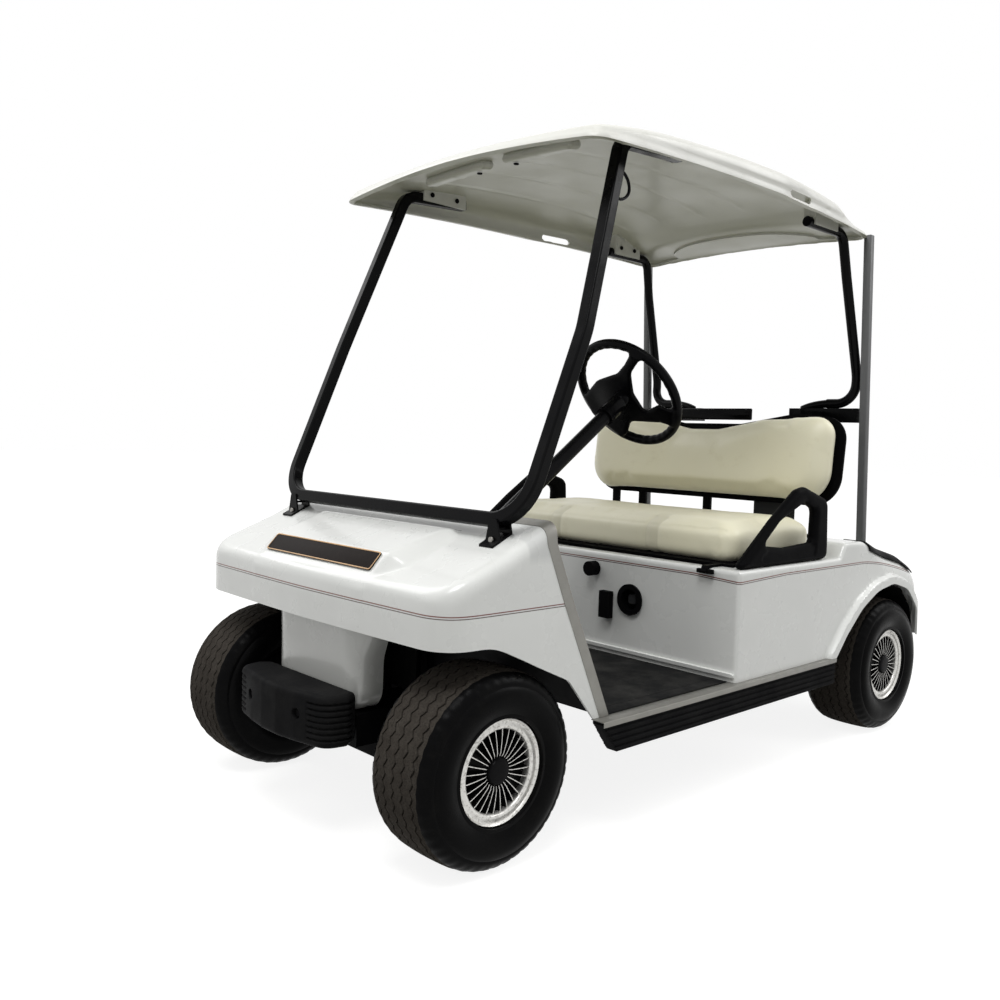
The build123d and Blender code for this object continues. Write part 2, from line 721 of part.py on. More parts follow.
def seat_back_frame():
    """Black backing board of the backrest on flat uprights."""
    y = BACK_FRONT + BACK_THICK + SEAT
    frame = reclined(front_slab(back_outline(-3), y, y + 8))
    for x in SUPPORT_X:
        upright = strip_face([(560, DECK_TOP + SEAT), (560, 760), (y + 20, 860)], -10)
        frame += side_slab(upright, x - 16, x + 16)
    frame += block(-450, 450, 548, 580, DECK_TOP - 0.5, DECK_TOP + 8)
    frame += block(-400, 400, RAIL_BACK - 14, RAIL_BACK, RACK_TOP - 50, RACK_TOP - 8)
    return largest(frame)


ARMREST_OUT = BODY_HALF - 9  # outer face of the arm loops


def armrest(side):
    """Moulded arm loop at the end of the bench, with a hand opening under its raised back half."""
    base = BODY_TOP + SEAT
    outer = [(-66, base), (408, base), (408, 640), (400, 774), (270, 814), (230, 806), (108, 724)]
    hole = [(134, 640), (257, 753), (287, 752), (312, 684), (268, 645)]
    face = closed_face(outer, [10, 24, 20, 36, 30, 40, 60]) - closed_face(hole, [8, 12, 12, 14, 14])
    x0, x1 = sorted((side * (ARMREST_OUT - 36), side * ARMREST_OUT))
    return side_slab(face, x0, x1)


# ---------------------------------------------------------------- steering column and controls
COLUMN_DIR = Vector(0, math.cos(math.radians(COLUMN_ANGLE)), math.sin(math.radians(COLUMN_ANGLE)))


def column_point(along):
    """Point on the column's axis, measured from the steering wheel's centre."""
    return WHEEL_CENTRE + COLUMN_DIR * along


def steering_wheel():
    """Three-spoke wheel with a wide hub pad; its stub turns on the column."""
    at = Plane(origin=WHEEL_CENTRE, x_dir=(1, 0, 0), z_dir=COLUMN_DIR)
    wheel = Torus(WHEEL_RIM_RADIUS, WHEEL_GRIP)
    wheel += Pos(0, 0, -50) * Cylinder(24, 50, align=(Align.CENTER, Align.CENTER, Align.MIN))
    pad = closed_face([(-50, 52), (50, 52), (84, -62), (-84, -62)], [26, 26, 34, 34])
    wheel += Pos(0, 0, -32) * extrude(pad, amount=30)
    for angle, width in ((-150, 52), (-30, 52), (90, 34)):
        spoke = Pos(WHEEL_RIM_RADIUS / 2 + 20, 0, -12) * Box(WHEEL_RIM_RADIUS - 44, width, 10)
        wheel += Rot(0, 0, angle) * spoke
    return at * wheel


def steering_column():
    """Column tube from the front hoop to the wheel's hub."""
    tube = rod(column_point(-735), column_point(-50 - SEAT), 20)
    tube += rod(column_point(-120), column_point(-51), 26)
    bracket = block(WHEEL_CENTRE.X - 30, WHEEL_CENTRE.X + 30, HOOP_Y + 18 + SEAT, HOOP_Y + 60, HOOP_TOP - 36, HOOP_TOP)
    return tube + bracket


def steering_gear():
    """Gear housing on the left rail with its shaft."""
    housing = block(90, RAIL_X - RAIL_WIDTH / 2 - SEAT, FRONT_AXLE_Y - 70, FRONT_AXLE_Y + 60, RAIL_TOP - 60, RAIL_TOP + 20)
    housing += rod((106, FRONT_AXLE_Y, RAIL_TOP), (106, HOOP_Y - 24, 620), 9)
    return housing


def pedals():
    """Accelerator and brake pedals on their arms."""
    result = []
    for x, width in ((120, 60), (285, 110)):
        pad = block(x - width / 2, x + width / 2, -556, -546, 352, 412)
        arm = side_slab(strip_face([(-526, FLOOR_Z + MAT + SEAT + 3.1), (-546, 360)], 10), x - 7, x + 7)
        result += (pad + arm).solids()
    return Compound(children=result)


def charge_socket():
    """Round flush charging socket in the kick panel."""
    x, z = 201, 465
    socket = rod((x, KICK_Y - 6, z), (x, KICK_Y, z), 46) + rod((x, KICK_Y, z), (x, KICK_Y + 40, z), 39.7)
    return socket - rod((x, KICK_Y - 8, z), (x, KICK_Y + 30, z), 31)


def switch_box():
    """Small box on the kick panel beside the charging socket."""
    return block(95, 135, KICK_Y - 20, KICK_Y - SEAT, 400, 480)


def direction_knob():
    """Forward and reverse selector below the seat."""
    x, z = 58, 542
    knob = rod((x, KICK_Y - 30, z), (x, KICK_Y - SEAT, z), 22)
    return knob + rod((x, KICK_Y - 1, z), (x, KICK_Y + 16, z), 7.7)


# ---------------------------------------------------------------- power train
TRAY = 4


def battery_pack():
    """Traction batteries under the seat, as one block."""
    return block(-400, 400, 0, 420, RAIL_TOP + TRAY, 545)


def battery_tray():
    """Steel tray that carries the batteries between the floor and the tail."""
    return block(-410, 410, KICK_Y + 40, 430, RAIL_TOP, RAIL_TOP + TRAY)


def drive_motor():
    """Motor bolted to the front of the axle's gear case."""
    return rod((0, REAR_AXLE_Y - 300, AXLE_Z + 14), (0, REAR_AXLE_Y - 100, AXLE_Z + 14), 84)


def rear_axle():
    """Axle tubes, gear case and half shafts."""
    y, z = REAR_AXLE_Y, AXLE_Z
    hub_face = TRACK_REAR / 2 - HUB_INNER - SEAT
    end = TRACK_REAR / 2 + HUB_OUTER + SEAT
    axle = x_disc(-hub_face, hub_face, y, z, 28)
    axle += Pos(0, y, z) * Sphere(98)
    axle += rod((0, y - 100, z + 14), (0, y, z + 14), 70)
    axle += x_disc(-end, end, y, z, SPINDLE_RADIUS)
    for _, side in SIDES:
        axle += x_disc(side * (hub_face - 34), side * (hub_face - 4), y, z, 78)
        axle += x_disc(side * end, side * (end + 5), y, z, SPINDLE_RADIUS + 8)
    return axle


SPRING_X = 262


def rear_leaf_springs():
    """Leaf packs over the axle tubes, with shackles up to the rails."""
    top = AXLE_Z + 28
    half = 24
    pack = block(SPRING_X - half, SPRING_X + half, REAR_AXLE_Y - 270, REAR_AXLE_Y + 270, top, top + 8)
    pack += block(SPRING_X - half, SPRING_X + half, REAR_AXLE_Y - 170, REAR_AXLE_Y + 170, top + 8, top + 16)
    for y in (REAR_AXLE_Y - 262, REAR_AXLE_Y + 262):
        pack += block(RAIL_X + RAIL_WIDTH / 2, SPRING_X + half, y - 8, y + 8, top, top + 12)
        pack += block(SPRING_X - half, SPRING_X - half + 8, y - 8, y + 8, top, top + 40)
    return both(pack)


# ---------------------------------------------------------------- canopy and its frame
ARM_X = 437  # front tube's arms under the roof
ARM_FRONT = (ARM_X, -452, 1657)
ARM_BACK = (ARM_X, -225, 1670)
KNEE = (498, -625, 1182)
BAR_Y = -804  # lower bar of the windscreen frame
BAR_Z = 746
STRUT_X = 412  # rear tubes' arms under the roof
STRUT_Z = 1628
BRACKET_WALL = 5
ROOF_LINE = [  # (y, drop of the ridge below the crown, arch of the section between the ridge and the roof's sides)
    (CANOPY_FRONT - 45, 98, 23),
    (CANOPY_FRONT + 55, 68, 25),
    (-450, 40, 27),
    (-200, 12, 37),
    (58, 0, 42),
    (300, 8, 36),
    (440, 24, 25),
    (510, 43, 10),
    (590, 76, 2),
    (660, 87, 2),
    (CANOPY_BACK + 49, 95, 6),
]


def dome(crown, cross_radius, long_radius):
    """Solid under a surface curved both ways, highest in the middle of the roof."""
    middle, half, reach = (CANOPY_FRONT + CANOPY_BACK) / 2, OUTSIDE, CANOPY_BACK - CANOPY_FRONT
    edge, base = crown - half * half / (2 * cross_radius), crown - 300
    arc = ThreePointArc((-half, edge), (0, crown), (half, edge))
    sides = Polyline((half, edge), (half, base), (-half, base), (-half, edge))
    section = Plane(origin=(0, middle, 0), x_dir=(1, 0, 0), z_dir=(0, -1, 0)) * make_face(arc + sides)
    axis = Axis((0, middle, crown - long_radius), (1, 0, 0))
    angle = math.degrees(0.6 * reach / long_radius)
    return revolve(section.rotate(axis, -angle), axis=axis, revolution_arc=2 * angle)


def roof_form(drop):
    """Solid under the roof's skin, lowered by a drop: arched sections lofted from front to rear."""
    sections = []
    half = CANOPY_HALF_FRONT + 10
    for y, fall, arch in ROOF_LINE:
        ridge = CANOPY_CROWN - fall - drop
        edge, base = ridge - arch, ridge - 200
        arc = ThreePointArc((-half, edge), (0, ridge), (half, edge))
        sides = Polyline((half, edge), (half, base), (-half, base), (-half, edge))
        sections.append(Plane(origin=(0, y, 0), x_dir=(1, 0, 0), z_dir=(0, -1, 0)) * make_face(arc + sides))
    return loft(sections)


def rim_space(gap):
    """Everything under the rim's lower edge, less a gap."""
    cross_radius, long_radius = 5000, 12000
    return dome(CANOPY_CROWN - CANOPY_RISE - gap, cross_radius, long_radius)


def canopy_plan(inset):
    """Roof outline: bowed front, sides that narrow past the hand-holds, rounded corners."""
    half = [
        (CANOPY_HALF_BACK, CANOPY_BACK),
        (CANOPY_HALF_WAIST, CANOPY_WAIST),
        (CANOPY_HALF_FRONT, CANOPY_WAIST - 260),
        (CANOPY_HALF_FRONT - 2, CANOPY_FRONT + 30),
    ]
    points = [(-x, y) for x, y in half] + [(0, CANOPY_FRONT)] + half[::-1]
    return offset(closed_face(points, [70, 600, 600, 48, 2400, 48, 600, 600, 70]), -inset)


def rolled_roof(depth, inset):
    """Solid under the roof's skin, its top edge rolled."""
    roof = roof_form(depth) & plan_slab(canopy_plan(inset), CANOPY_CROWN - 160, CANOPY_CROWN + 50)
    return fillet(roof.faces().sort_by(Axis.Z)[-1].edges(), CANOPY_ROLL - depth)


def canopy():
    """Moulded roof: thin skin, rolled edge, turned-down rim, a hand-hold each side and two stiffening blocks."""
    shell = rolled_roof(0, 0) - rolled_roof(CANOPY_WALL, CANOPY_RIM)
    stiffener = block(35, 300, -490, -440, CANOPY_CROWN - 160, CANOPY_CROWN) & roof_form(CANOPY_WALL / 2)
    stiffener -= roof_form(CANOPY_WALL + 24)
    hold = Pos(HOLD_Y, CANOPY_CROWN - CANOPY_RISE - 10) * SlotOverall(HOLD_LENGTH, HOLD_HEIGHT)
    hold = side_slab(hold, CANOPY_HALF_WAIST - 40, OUTSIDE)
    shell += stiffener + mirrored(stiffener)
    return largest(shell - rim_space(0) - hold - mirrored(hold))


def canopy_brackets():
    """Channels that hold the frame's top tubes up under the roof."""
    pieces = []
    roof = rolled_roof(CANOPY_WALL + SEAT, CANOPY_RIM + SEAT)
    outer = TUBE / 2 + SEAT + BRACKET_WALL
    front_tube = square_bar(ARM_FRONT, (ARM_X, ARM_BACK[1] + 50, ARM_BACK[2] + 3), TUBE + 2 * SEAT)
    front_tube += Pos(0, 0, -TUBE / 2) * front_tube
    rear_tube = rod((STRUT_X, 400, STRUT_Z), (STRUT_X, 680, STRUT_Z), TUBE / 2 + SEAT)
    rear_tube += block(STRUT_X - TUBE / 2 - SEAT, STRUT_X + TUBE / 2 + SEAT, 400, 680, STRUT_Z - TUBE, STRUT_Z)
    for x, y0, y1, low, tube in (
        (ARM_X, -398, ARM_BACK[1] - 6, ARM_FRONT[2] - 4, front_tube),
        (STRUT_X, 470, 610, STRUT_Z - 8, rear_tube),
    ):
        bracket = block(x - outer, x + outer, y0, y1, low, CANOPY_CROWN) & roof
        pieces += both(largest(bracket - tube)).solids()
    return Compound(children=pieces)


def windscreen_foot():
    """Clevis that carries the lower bar: a base on the cowl and a plate before and behind the bar."""
    plate, half = 5, 23
    x = ARM_X - 9
    base = block(x - half, x + half, BAR_Y - 40, BAR_Y + 24, 660, BAR_Z - TUBE / 2 - 12)
    base &= cowl_block(-SEAT - plate)
    side_view = [(x - half, 660), (x + half, 660), (x + half, 702), (x + 12, BAR_Z + 6), (x - 12, BAR_Z + 6), (x - half, 702)]
    gap = TUBE / 2 + SEAT
    for y0 in (BAR_Y - gap - plate, BAR_Y + gap):
        base += front_slab(closed_face(side_view, [0, 0, 0, 8, 8, 0]), y0, y0 + plate)
    base += block(x - 8, x + 8, BAR_Y - gap, BAR_Y + gap, BAR_Z - TUBE / 2 - 4, BAR_Z - TUBE / 2 + 1)
    return largest(base - cowl_block(-SEAT))


def windscreen_frame():
    """One square tube: struts bowed outwards, lower bar and top arms, on two clevis feet."""
    half = [ARM_BACK, ARM_FRONT, KNEE, (KNEE[0] + 2, BAR_Y, BAR_Z)]
    points = [*half, *[(-x, y, z) for x, y, z in half[::-1]]]
    frame = tube_run(points, [50, 240, 100, 100, 240, 50], RectangleRounded(TUBE, TUBE, 5))
    foot = windscreen_foot()
    return frame + foot + mirrored(foot)


def rear_strut(side):
    """Round tube from the roof down to the rack behind the backrest."""
    points = [
        (side * STRUT_X, 454, STRUT_Z),
        (side * STRUT_X, 678, STRUT_Z),
        (side * 418, 706, 1490),
        (side * 428, 792, 1160),
        (side * 424, RACK_Y, RACK_TOP + TUBE / 2 + SEAT),
        (side * 330, RACK_Y, RACK_TOP + TUBE / 2 + SEAT),
    ]
    return tube_run(points, [45, 200, 120, 62], Circle(TUBE / 2))


RACK_Y = 779
RACK_TOP = 1062
RACK_HEIGHT = 48
POST_INNER = 448
POST_WIDTH = 35


def rear_posts():
    """Straight rectangular posts from the tail up to the roof's rear corners."""
    side_view = [(739, 1690), (767, 1690), (817, 560), (789, 560)]
    post = side_slab(closed_face(side_view), POST_INNER, POST_INNER + POST_WIDTH)
    above = block(POST_INNER - 1, POST_INNER + POST_WIDTH + 1, 700, 820, 1500, 1700) - rim_space(SEAT)
    return both(largest(post - above - body_block(-SEAT, 300)))


def bag_rack():
    """Bar behind each end of the backrest, with an arm forward to its frame."""
    bar = block(190, POST_INNER - SEAT, RACK_Y - 13, RACK_Y + 13, RACK_TOP - RACK_HEIGHT, RACK_TOP)
    bar += block(300, 330, RAIL_BACK + SEAT, RACK_Y - 13, RACK_TOP - 40, RACK_TOP - 12)
    return both(bar)


# ---------------------------------------------------------------- write every node
NODES = {
    "chassis_frame": chassis_frame,
    "front_axle": front_axle,
    "front_leaf_spring": front_leaf_spring,
    "front_shocks": front_shocks,
    "knuckle_left": lambda: knuckle(1),
    "knuckle_right": lambda: knuckle(-1),
    "tie_rod": tie_rod,
    "steering_gear": steering_gear,
    "floor_pan": floor_pan,
    "floor_mat": floor_mat,
    "front_cowl": front_cowl,
    "cowl_edge_trim": cowl_edge_trim,
    "dash_panel": dash_panel,
    "name_plate": name_plate,
    "front_skirt": front_skirt,
    "front_bumper": front_bumper,
    "rear_body": rear_body,
    "wheel_liners": wheel_liners,
    "bag_deck": bag_deck,
    "scuff_guards": scuff_guards,
    "rear_bumper": rear_bumper,
    "sills": sills,
    "sill_trims": sill_trims,
    "seat_cushion": seat_cushion,
    "seat_board": seat_board,
    "seat_hinges": seat_hinges,
    "seat_back_pad": seat_back_pad,
    "seat_back_frame": seat_back_frame,
    "armrest_left": lambda: armrest(1),
    "armrest_right": lambda: armrest(-1),
    "steering_wheel": steering_wheel,
    "steering_column": steering_column,
    "pedals": pedals,
    "charge_socket": charge_socket,
    "switch_box": switch_box,
    "direction_knob": direction_knob,
    "battery_pack": battery_pack,
    "battery_tray": battery_tray,
    "drive_motor": drive_motor,
    "rear_axle": rear_axle,
    "rear_leaf_springs": rear_leaf_springs,
    "canopy": canopy,
    "canopy_brackets": canopy_brackets,
    "windscreen_frame": windscreen_frame,
    "rear_strut_left": lambda: rear_strut(1),
    "rear_strut_right": lambda: rear_strut(-1),
    "rear_posts": rear_posts,
    "bag_rack": bag_rack,
}
for wheel_name, (wheel_x, wheel_y) in WHEELS.items():
    NODES[f"tyre_{wheel_name}"] = lambda x=wheel_x, y=wheel_y: tyre(x, y)
    NODES[f"rim_{wheel_name}"] = lambda x=wheel_x, y=wheel_y: rim(x, y)

for node_name, build_node in NODES.items():
    export_step(build_node(), f"parts/{node_name}.step")
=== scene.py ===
"""Looks of a two-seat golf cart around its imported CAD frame.

Shapes are given in millimetres and made in metres.  The cart's front faces -Y and its left side is +X.
"""

import math

import bmesh
import bpy
import numpy as np
from mathutils import Matrix, Vector


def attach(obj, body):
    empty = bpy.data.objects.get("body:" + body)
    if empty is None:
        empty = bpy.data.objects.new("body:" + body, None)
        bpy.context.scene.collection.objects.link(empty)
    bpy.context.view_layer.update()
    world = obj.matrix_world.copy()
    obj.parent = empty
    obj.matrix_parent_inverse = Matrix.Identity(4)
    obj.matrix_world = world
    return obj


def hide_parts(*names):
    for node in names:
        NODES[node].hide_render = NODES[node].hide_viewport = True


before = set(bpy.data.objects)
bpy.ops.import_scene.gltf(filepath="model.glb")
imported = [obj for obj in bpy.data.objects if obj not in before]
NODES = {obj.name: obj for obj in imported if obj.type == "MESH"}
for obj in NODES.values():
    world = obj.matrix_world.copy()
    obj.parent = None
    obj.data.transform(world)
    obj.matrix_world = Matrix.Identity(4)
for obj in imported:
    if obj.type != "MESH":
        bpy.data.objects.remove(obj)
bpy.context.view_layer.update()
scene = bpy.context.scene
MM = 0.001
SIDES = ((1, "left"), (-1, "right"))
AXLES = {"front": (438, -870), "rear": (489, 794)}  # half of the track, and the place along Y
AXLE_HEIGHT = 218
WHEEL_AT = {f"{end}_{word}": (side * half, y) for end, (half, y) in AXLES.items() for side, word in SIDES}


def linked(name, data):
    """New object in the scene."""
    made = bpy.data.objects.new(name, data)
    scene.collection.objects.link(made)
    return made


# ---- camera, solved from the photograph
CAMERA_AT = (2007, -2225, 936)
CAMERA_TURN = (-45.38, -3.2, 1.81)  # yaw, pitch and roll in degrees
CAMERA_SENSOR = 36
CAMERA_FOCAL = 0.9583  # in widths of the sensor
CAMERA_SHIFT = (-0.0449, -0.0101)


def make_camera():
    data = bpy.data.cameras.new("camera")
    data.sensor_width = CAMERA_SENSOR
    data.lens = CAMERA_SENSOR * CAMERA_FOCAL
    data.shift_x, data.shift_y = CAMERA_SHIFT
    camera = linked("camera", data)
    yaw, pitch, roll = CAMERA_TURN
    aim = set_at(*CAMERA_AT, 90 + pitch, 0, -yaw)
    camera.matrix_world = aim @ Matrix.Rotation(math.radians(roll), 4, "Z")
    scene.camera = camera


# ---- shapes by distance fields
PROBE = 0.6  # between the two readings that give a field's slope
STRIDE = 4  # most that one round of settling moves a point
SNAP = 0.12  # share of an edge within which a cut moves the edge's end and makes no new point


def smax(a, b, k):
    """Largest of two fields with a rounding of about k."""
    h = np.maximum(k - np.abs(a - b), 0) / k
    return np.maximum(a, b) + h * h * k * 0.25


def smin(a, b, k):
    return -smax(-a, -b, k)


def ease(low, high, x):
    """0 below low, 1 above high, smooth between."""
    t = np.clip((x - low) / (high - low), 0, 1)
    return t * t * (3 - 2 * t)


def grown(field, by):
    """Field whose surface lies further out."""
    return lambda x, y, z: field(x, y, z) - by


def comb(value, start, pitch):
    """Share of a pitch between a value and the nearest of evenly spaced lines."""
    turns = (value - start) / pitch
    return np.abs(turns - np.round(turns))


def rounded(points, radii, step=9.0):
    """Outline's points with each corner turned into an arc, of one point every few degrees."""
    count = len(points)
    radii = list(radii) if isinstance(radii, (list, tuple)) else [radii] * count
    out = []
    for i, radius in enumerate(radii):
        before, at, after = (np.array(points[(i + d) % count], float) for d in (-1, 0, 1))
        u, v = before - at, after - at
        reach = min(np.linalg.norm(u), np.linalg.norm(v))
        u, v = u / np.linalg.norm(u), v / np.linalg.norm(v)
        half = math.acos(max(-1, min(1, float(u @ v)))) / 2
        if radius <= 0 or half > math.radians(89.7):
            out.append(tuple(at))
            continue
        cut = min(radius / math.tan(half), reach * 0.5)
        radius = cut * math.tan(half)
        bisector = (u + v) / np.linalg.norm(u + v)
        centre = at + bisector * radius / math.sin(half)
        a, b = at + u * cut - centre, at + v * cut - centre
        turn = math.atan2(a[0] * b[1] - a[1] * b[0], float(a @ b))
        steps = max(2, int(math.degrees(abs(turn)) / step) + 1)
        for k in range(steps + 1):
            c, s = math.cos(turn * k / steps), math.sin(turn * k / steps)
            out.append(tuple(centre + np.array([c * a[0] - s * a[1], s * a[0] + c * a[1]])))
    return out


def outline(points, radii=0):
    """Signed distance to a rounded outline, negative inside."""
    corners = rounded(points, radii)

    def field(u, v):
        u, v = np.broadcast_arrays(u, v)
        best = np.full(u.shape, 1e12)
        inside = np.zeros(u.shape, bool)
        for (ax, ay), (bx, by) in zip(corners, corners[1:] + corners[:1]):
            ex, ey = bx - ax, by - ay
            length = ex * ex + ey * ey
            if length < 1e-9:
                continue
            wx, wy = u - ax, v - ay
            t = np.clip((wx * ex + wy * ey) / length, 0, 1)
            best = np.minimum(best, (wx - ex * t) ** 2 + (wy - ey * t) ** 2)
            if ey:
                inside ^= ((ay > v) != (by > v)) & (u < ex * (v - ay) / ey + ax)
        return np.where(inside, -1, 1) * np.sqrt(best)

    return field


def net(field, low, high, step):
    """Points and quads of the surface where the field is zero, one point to each crossed cell of a box."""
    axes = [np.arange(a, b + step, step) for a, b in zip(low, high)]
    x, y, z = axes[0][:, None, None], axes[1][None, :, None], axes[2][None, None, :]
    value = np.broadcast_to(field(x, y, z), [len(a) for a in axes]).astype(np.float32)
    side = value < 0
    cells = [n - 1 for n in value.shape]
    place = np.zeros((*cells, 3), np.float32)
    count = np.zeros(cells, np.float32)
    for axis in range(3):
        for i in (0, 1):
            for j in (0, 1):
                at = [i, j]
                at.insert(axis, 0)
                a = tuple(slice(o, c + o) for o, c in zip(at, cells))
                at[axis] = 1
                b = tuple(slice(o, c + o) for o, c in zip(at, cells))
                cross = side[a] != side[b]
                gap = np.where(cross, value[a] - value[b], 1)
                t = np.where(cross, value[a] / gap, 0)
                at[axis] = 0
                for k in range(3):
                    place[..., k] += np.where(cross, t if k == axis else at[k], 0)
                count += cross
    used = count > 0
    index = np.full(cells, -1, np.int64)
    index[used] = np.arange(used.sum())
    corner = np.argwhere(used) + place[used] / count[used][:, None]
    points = np.array([a[0] for a in axes]) + corner * step
    quads = []
    for axis in range(3):
        a = [slice(1, n - 1) for n in value.shape]
        b = list(a)
        a[axis], b[axis] = slice(0, value.shape[axis] - 1), slice(1, value.shape[axis])
        first, second = side[tuple(a)], side[tuple(b)]
        where = np.argwhere(first != second)
        if not len(where):
            continue
        p, q = [k for k in range(3) if k != axis]
        where[:, [p, q]] += 1
        ring = []
        for dp, dq in ((-1, -1), (0, -1), (0, 0), (-1, 0)):
            cell = where.copy()
            cell[:, p] += dp
            cell[:, q] += dq
            ring.append(index[tuple(cell.T)])
        ring = np.stack(ring, 1)
        flip = first[first != second]
        outward = flip if axis != 1 else ~flip
        quads.append(np.where(outward[:, None], ring, ring[:, ::-1]))
    return points, np.concatenate(quads)


def settle(field, points, rounds=3):
    """Move points onto the field's zero surface."""
    def read(p):
        return field(p[:, 0], p[:, 1], p[:, 2])

    for _ in range(rounds):
        value = read(points)
        slope = np.stack([(read(points + d) - value) / PROBE for d in np.eye(3) * PROBE], 1)
        size = np.maximum((slope ** 2).sum(1), 0.25)
        points = points - slope * np.clip(value / size, -STRIDE, STRIDE)[:, None]
    return points


def clip(mesh, outside):
    """Cut a bmesh along the line where outside() turns positive."""
    places = np.array([v.co[:] for v in mesh.verts])
    read = outside(places[:, 0], places[:, 1], places[:, 2])
    value = {v: float(d) for v, d in zip(mesh.verts, read)}
    fresh = set()
    for edge in list(mesh.edges):
        a, b = edge.verts
        if (value[a] > 0) != (value[b] > 0) and value[a] != 0 and value[b] != 0:
            t = value[a] / (value[a] - value[b])
            if t < SNAP or t > 1 - SNAP:
                near = a if t < SNAP else b
                near.co = a.co + (b.co - a.co) * t
                value[near] = 0.0
                fresh.add(near)
    for edge in list(mesh.edges):
        a, b = edge.verts
        if value[a] * value[b] < 0:
            _, v = bmesh.utils.edge_split(edge, a, value[a] / (value[a] - value[b]))
            value[v] = 0.0
            fresh.add(v)
    for face in list(mesh.faces):
        ends = [v for v in face.verts if v in fresh]
        signs = {value[v] > 0 for v in face.verts if value[v] != 0}
        if len(ends) == 2 and len(signs) == 2:
            try:
                bmesh.utils.face_split(face, *ends)
            except ValueError:
                pass
    outer = [[value[v] for v in face.verts] for face in mesh.faces]
    doomed = [face for face, ends in zip(mesh.faces, outer) if sum(ends) > 1e-6 and max(ends) > 0]
    bmesh.ops.delete(mesh, geom=doomed, context="FACES")
    return mesh


# ---- meshes and pieces
def baked(holder):
    """Evaluated mesh of an object, which goes."""
    graph = bpy.context.evaluated_depsgraph_get()
    mesh = bpy.data.meshes.new_from_object(holder.evaluated_get(graph))
    bpy.data.objects.remove(holder)
    return mesh


def applied(mesh, kind, **values):
    """Mesh with a modifier applied."""
    holder = linked("holder", mesh)
    modifier = holder.modifiers.new(kind, kind)
    for key, value in values.items():
        setattr(modifier, key, value)
    return baked(holder)


def smoothed(mesh, work):
    """Smooth mesh of a bmesh, which is freed."""
    work.to_mesh(mesh)
    work.free()
    mesh.polygons.foreach_set("use_smooth", [True] * len(mesh.polygons))
    return mesh


def creased(mesh, angle):
    """Mesh with its edges sharp from an angle in degrees."""
    mesh.set_sharp_from_angle(angle=math.radians(angle))
    return mesh


def mesh_of(points, faces, sharp):
    """Mesh from points in millimetres."""
    mesh = bpy.data.meshes.new("mesh")
    mesh.from_pydata([tuple(p) for p in np.asarray(points, float) * MM], [], faces)
    work = bmesh.new()
    work.from_mesh(mesh)
    bmesh.ops.recalc_face_normals(work, faces=work.faces)
    return creased(smoothed(mesh, work), sharp)


def skin(field, low, high, step, cuts=(), wall=0.0, sharp=40):
    """Mesh of a field's surface, cut open and given a wall where asked."""
    points, quads = net(field, low, high, step)
    mesh = bpy.data.meshes.new("skin")
    mesh.from_pydata(settle(field, points).tolist(), [], quads.tolist())
    work = bmesh.new()
    work.from_mesh(mesh)
    bmesh.ops.recalc_face_normals(work, faces=work.faces)
    for cut in cuts:
        clip(work, cut)
    bmesh.ops.delete(work, geom=[v for v in work.verts if not v.link_faces], context="VERTS")
    for vert in work.verts:
        vert.co *= MM
    smoothed(mesh, work)
    if wall:
        even = {"use_even_offset": True, "use_quality_normals": True}
        mesh = applied(mesh, "SOLIDIFY", thickness=wall * MM, offset=-1, **even)
    return creased(mesh, sharp)


def revolve(profile, turns, centre, twist=None):
    """Points and quads of a closed (x, radius) profile turned about an X axis; twist moves a point."""
    points, faces = [], []
    cx, cy, cz = centre
    for k in range(turns):
        angle = 2 * math.pi * k / turns
        for j, (x, r) in enumerate(profile):
            dx, dr = twist(j, k) if twist else (0, 0)
            points.append((cx + x + dx, cy + (r + dr) * math.cos(angle), cz + (r + dr) * math.sin(angle)))
    size = len(profile)
    for k in range(turns):
        n = (k + 1) % turns
        for j in range(size):
            m = (j + 1) % size
            faces.append((k * size + j, k * size + m, n * size + m, n * size + j))
    return points, faces


def prism(points, low, high, turn=None, bevel=0.0, hole=()):
    """Slab between two local heights over an outline, with a hole of as many points where given."""
    work = bmesh.new()
    size = len(points)
    rings = [
        [work.verts.new((x * MM, y * MM, z * MM)) for x, y in line]
        for line in ([points, hole] if hole else [points])
        for z in (low, high)
    ]
    if hole:
        outer, inner = rings[:2], rings[2:]
        walls = [(outer[0], outer[1]), (inner[1], inner[0]), (outer[1], inner[1]), (inner[0], outer[0])]
    else:
        walls = [(rings[0], rings[1])]
        work.faces.new(rings[0][::-1])
        work.faces.new(rings[1])
    for a, b in walls:
        for k in range(size):
            n = (k + 1) % size
            work.faces.new((a[k], a[n], b[n], b[k]))
    bmesh.ops.recalc_face_normals(work, faces=work.faces)
    mesh = smoothed(bpy.data.meshes.new("prism"), work)
    if bevel:
        limit = {"limit_method": "ANGLE", "angle_limit": math.radians(50)}
        mesh = applied(mesh, "BEVEL", width=bevel * MM, segments=3, harden_normals=True, **limit)
    creased(mesh, 35)
    if turn:
        mesh.transform(turn)
    return mesh


def set_at(x, y, z, about_x=0.0, about_y=0.0, about_z=0.0):
    """Placing matrix from millimetres and turns in degrees."""
    place = Matrix.Translation((x * MM, y * MM, z * MM))
    for axis, angle in (("Z", about_z), ("Y", about_y), ("X", about_x)):
        place = place @ Matrix.Rotation(math.radians(angle), 4, axis)
    return place


def box_points(x0, x1, y0, y1):
    return [(x0, y0), (x1, y0), (x1, y1), (x0, y1)]


def across(side, inner, outer):
    """Low and high x of what lies between two distances from the middle on one side."""
    return sorted((side * inner, side * outer))


def disc(radius, height, turn, bevel=1.5, corners=32):
    """Low round boss along the placed Z axis."""
    angles = [k * 2 * math.pi / corners for k in range(corners)]
    return prism([(radius * math.cos(a), radius * math.sin(a)) for a in angles], 0, height, turn, bevel)


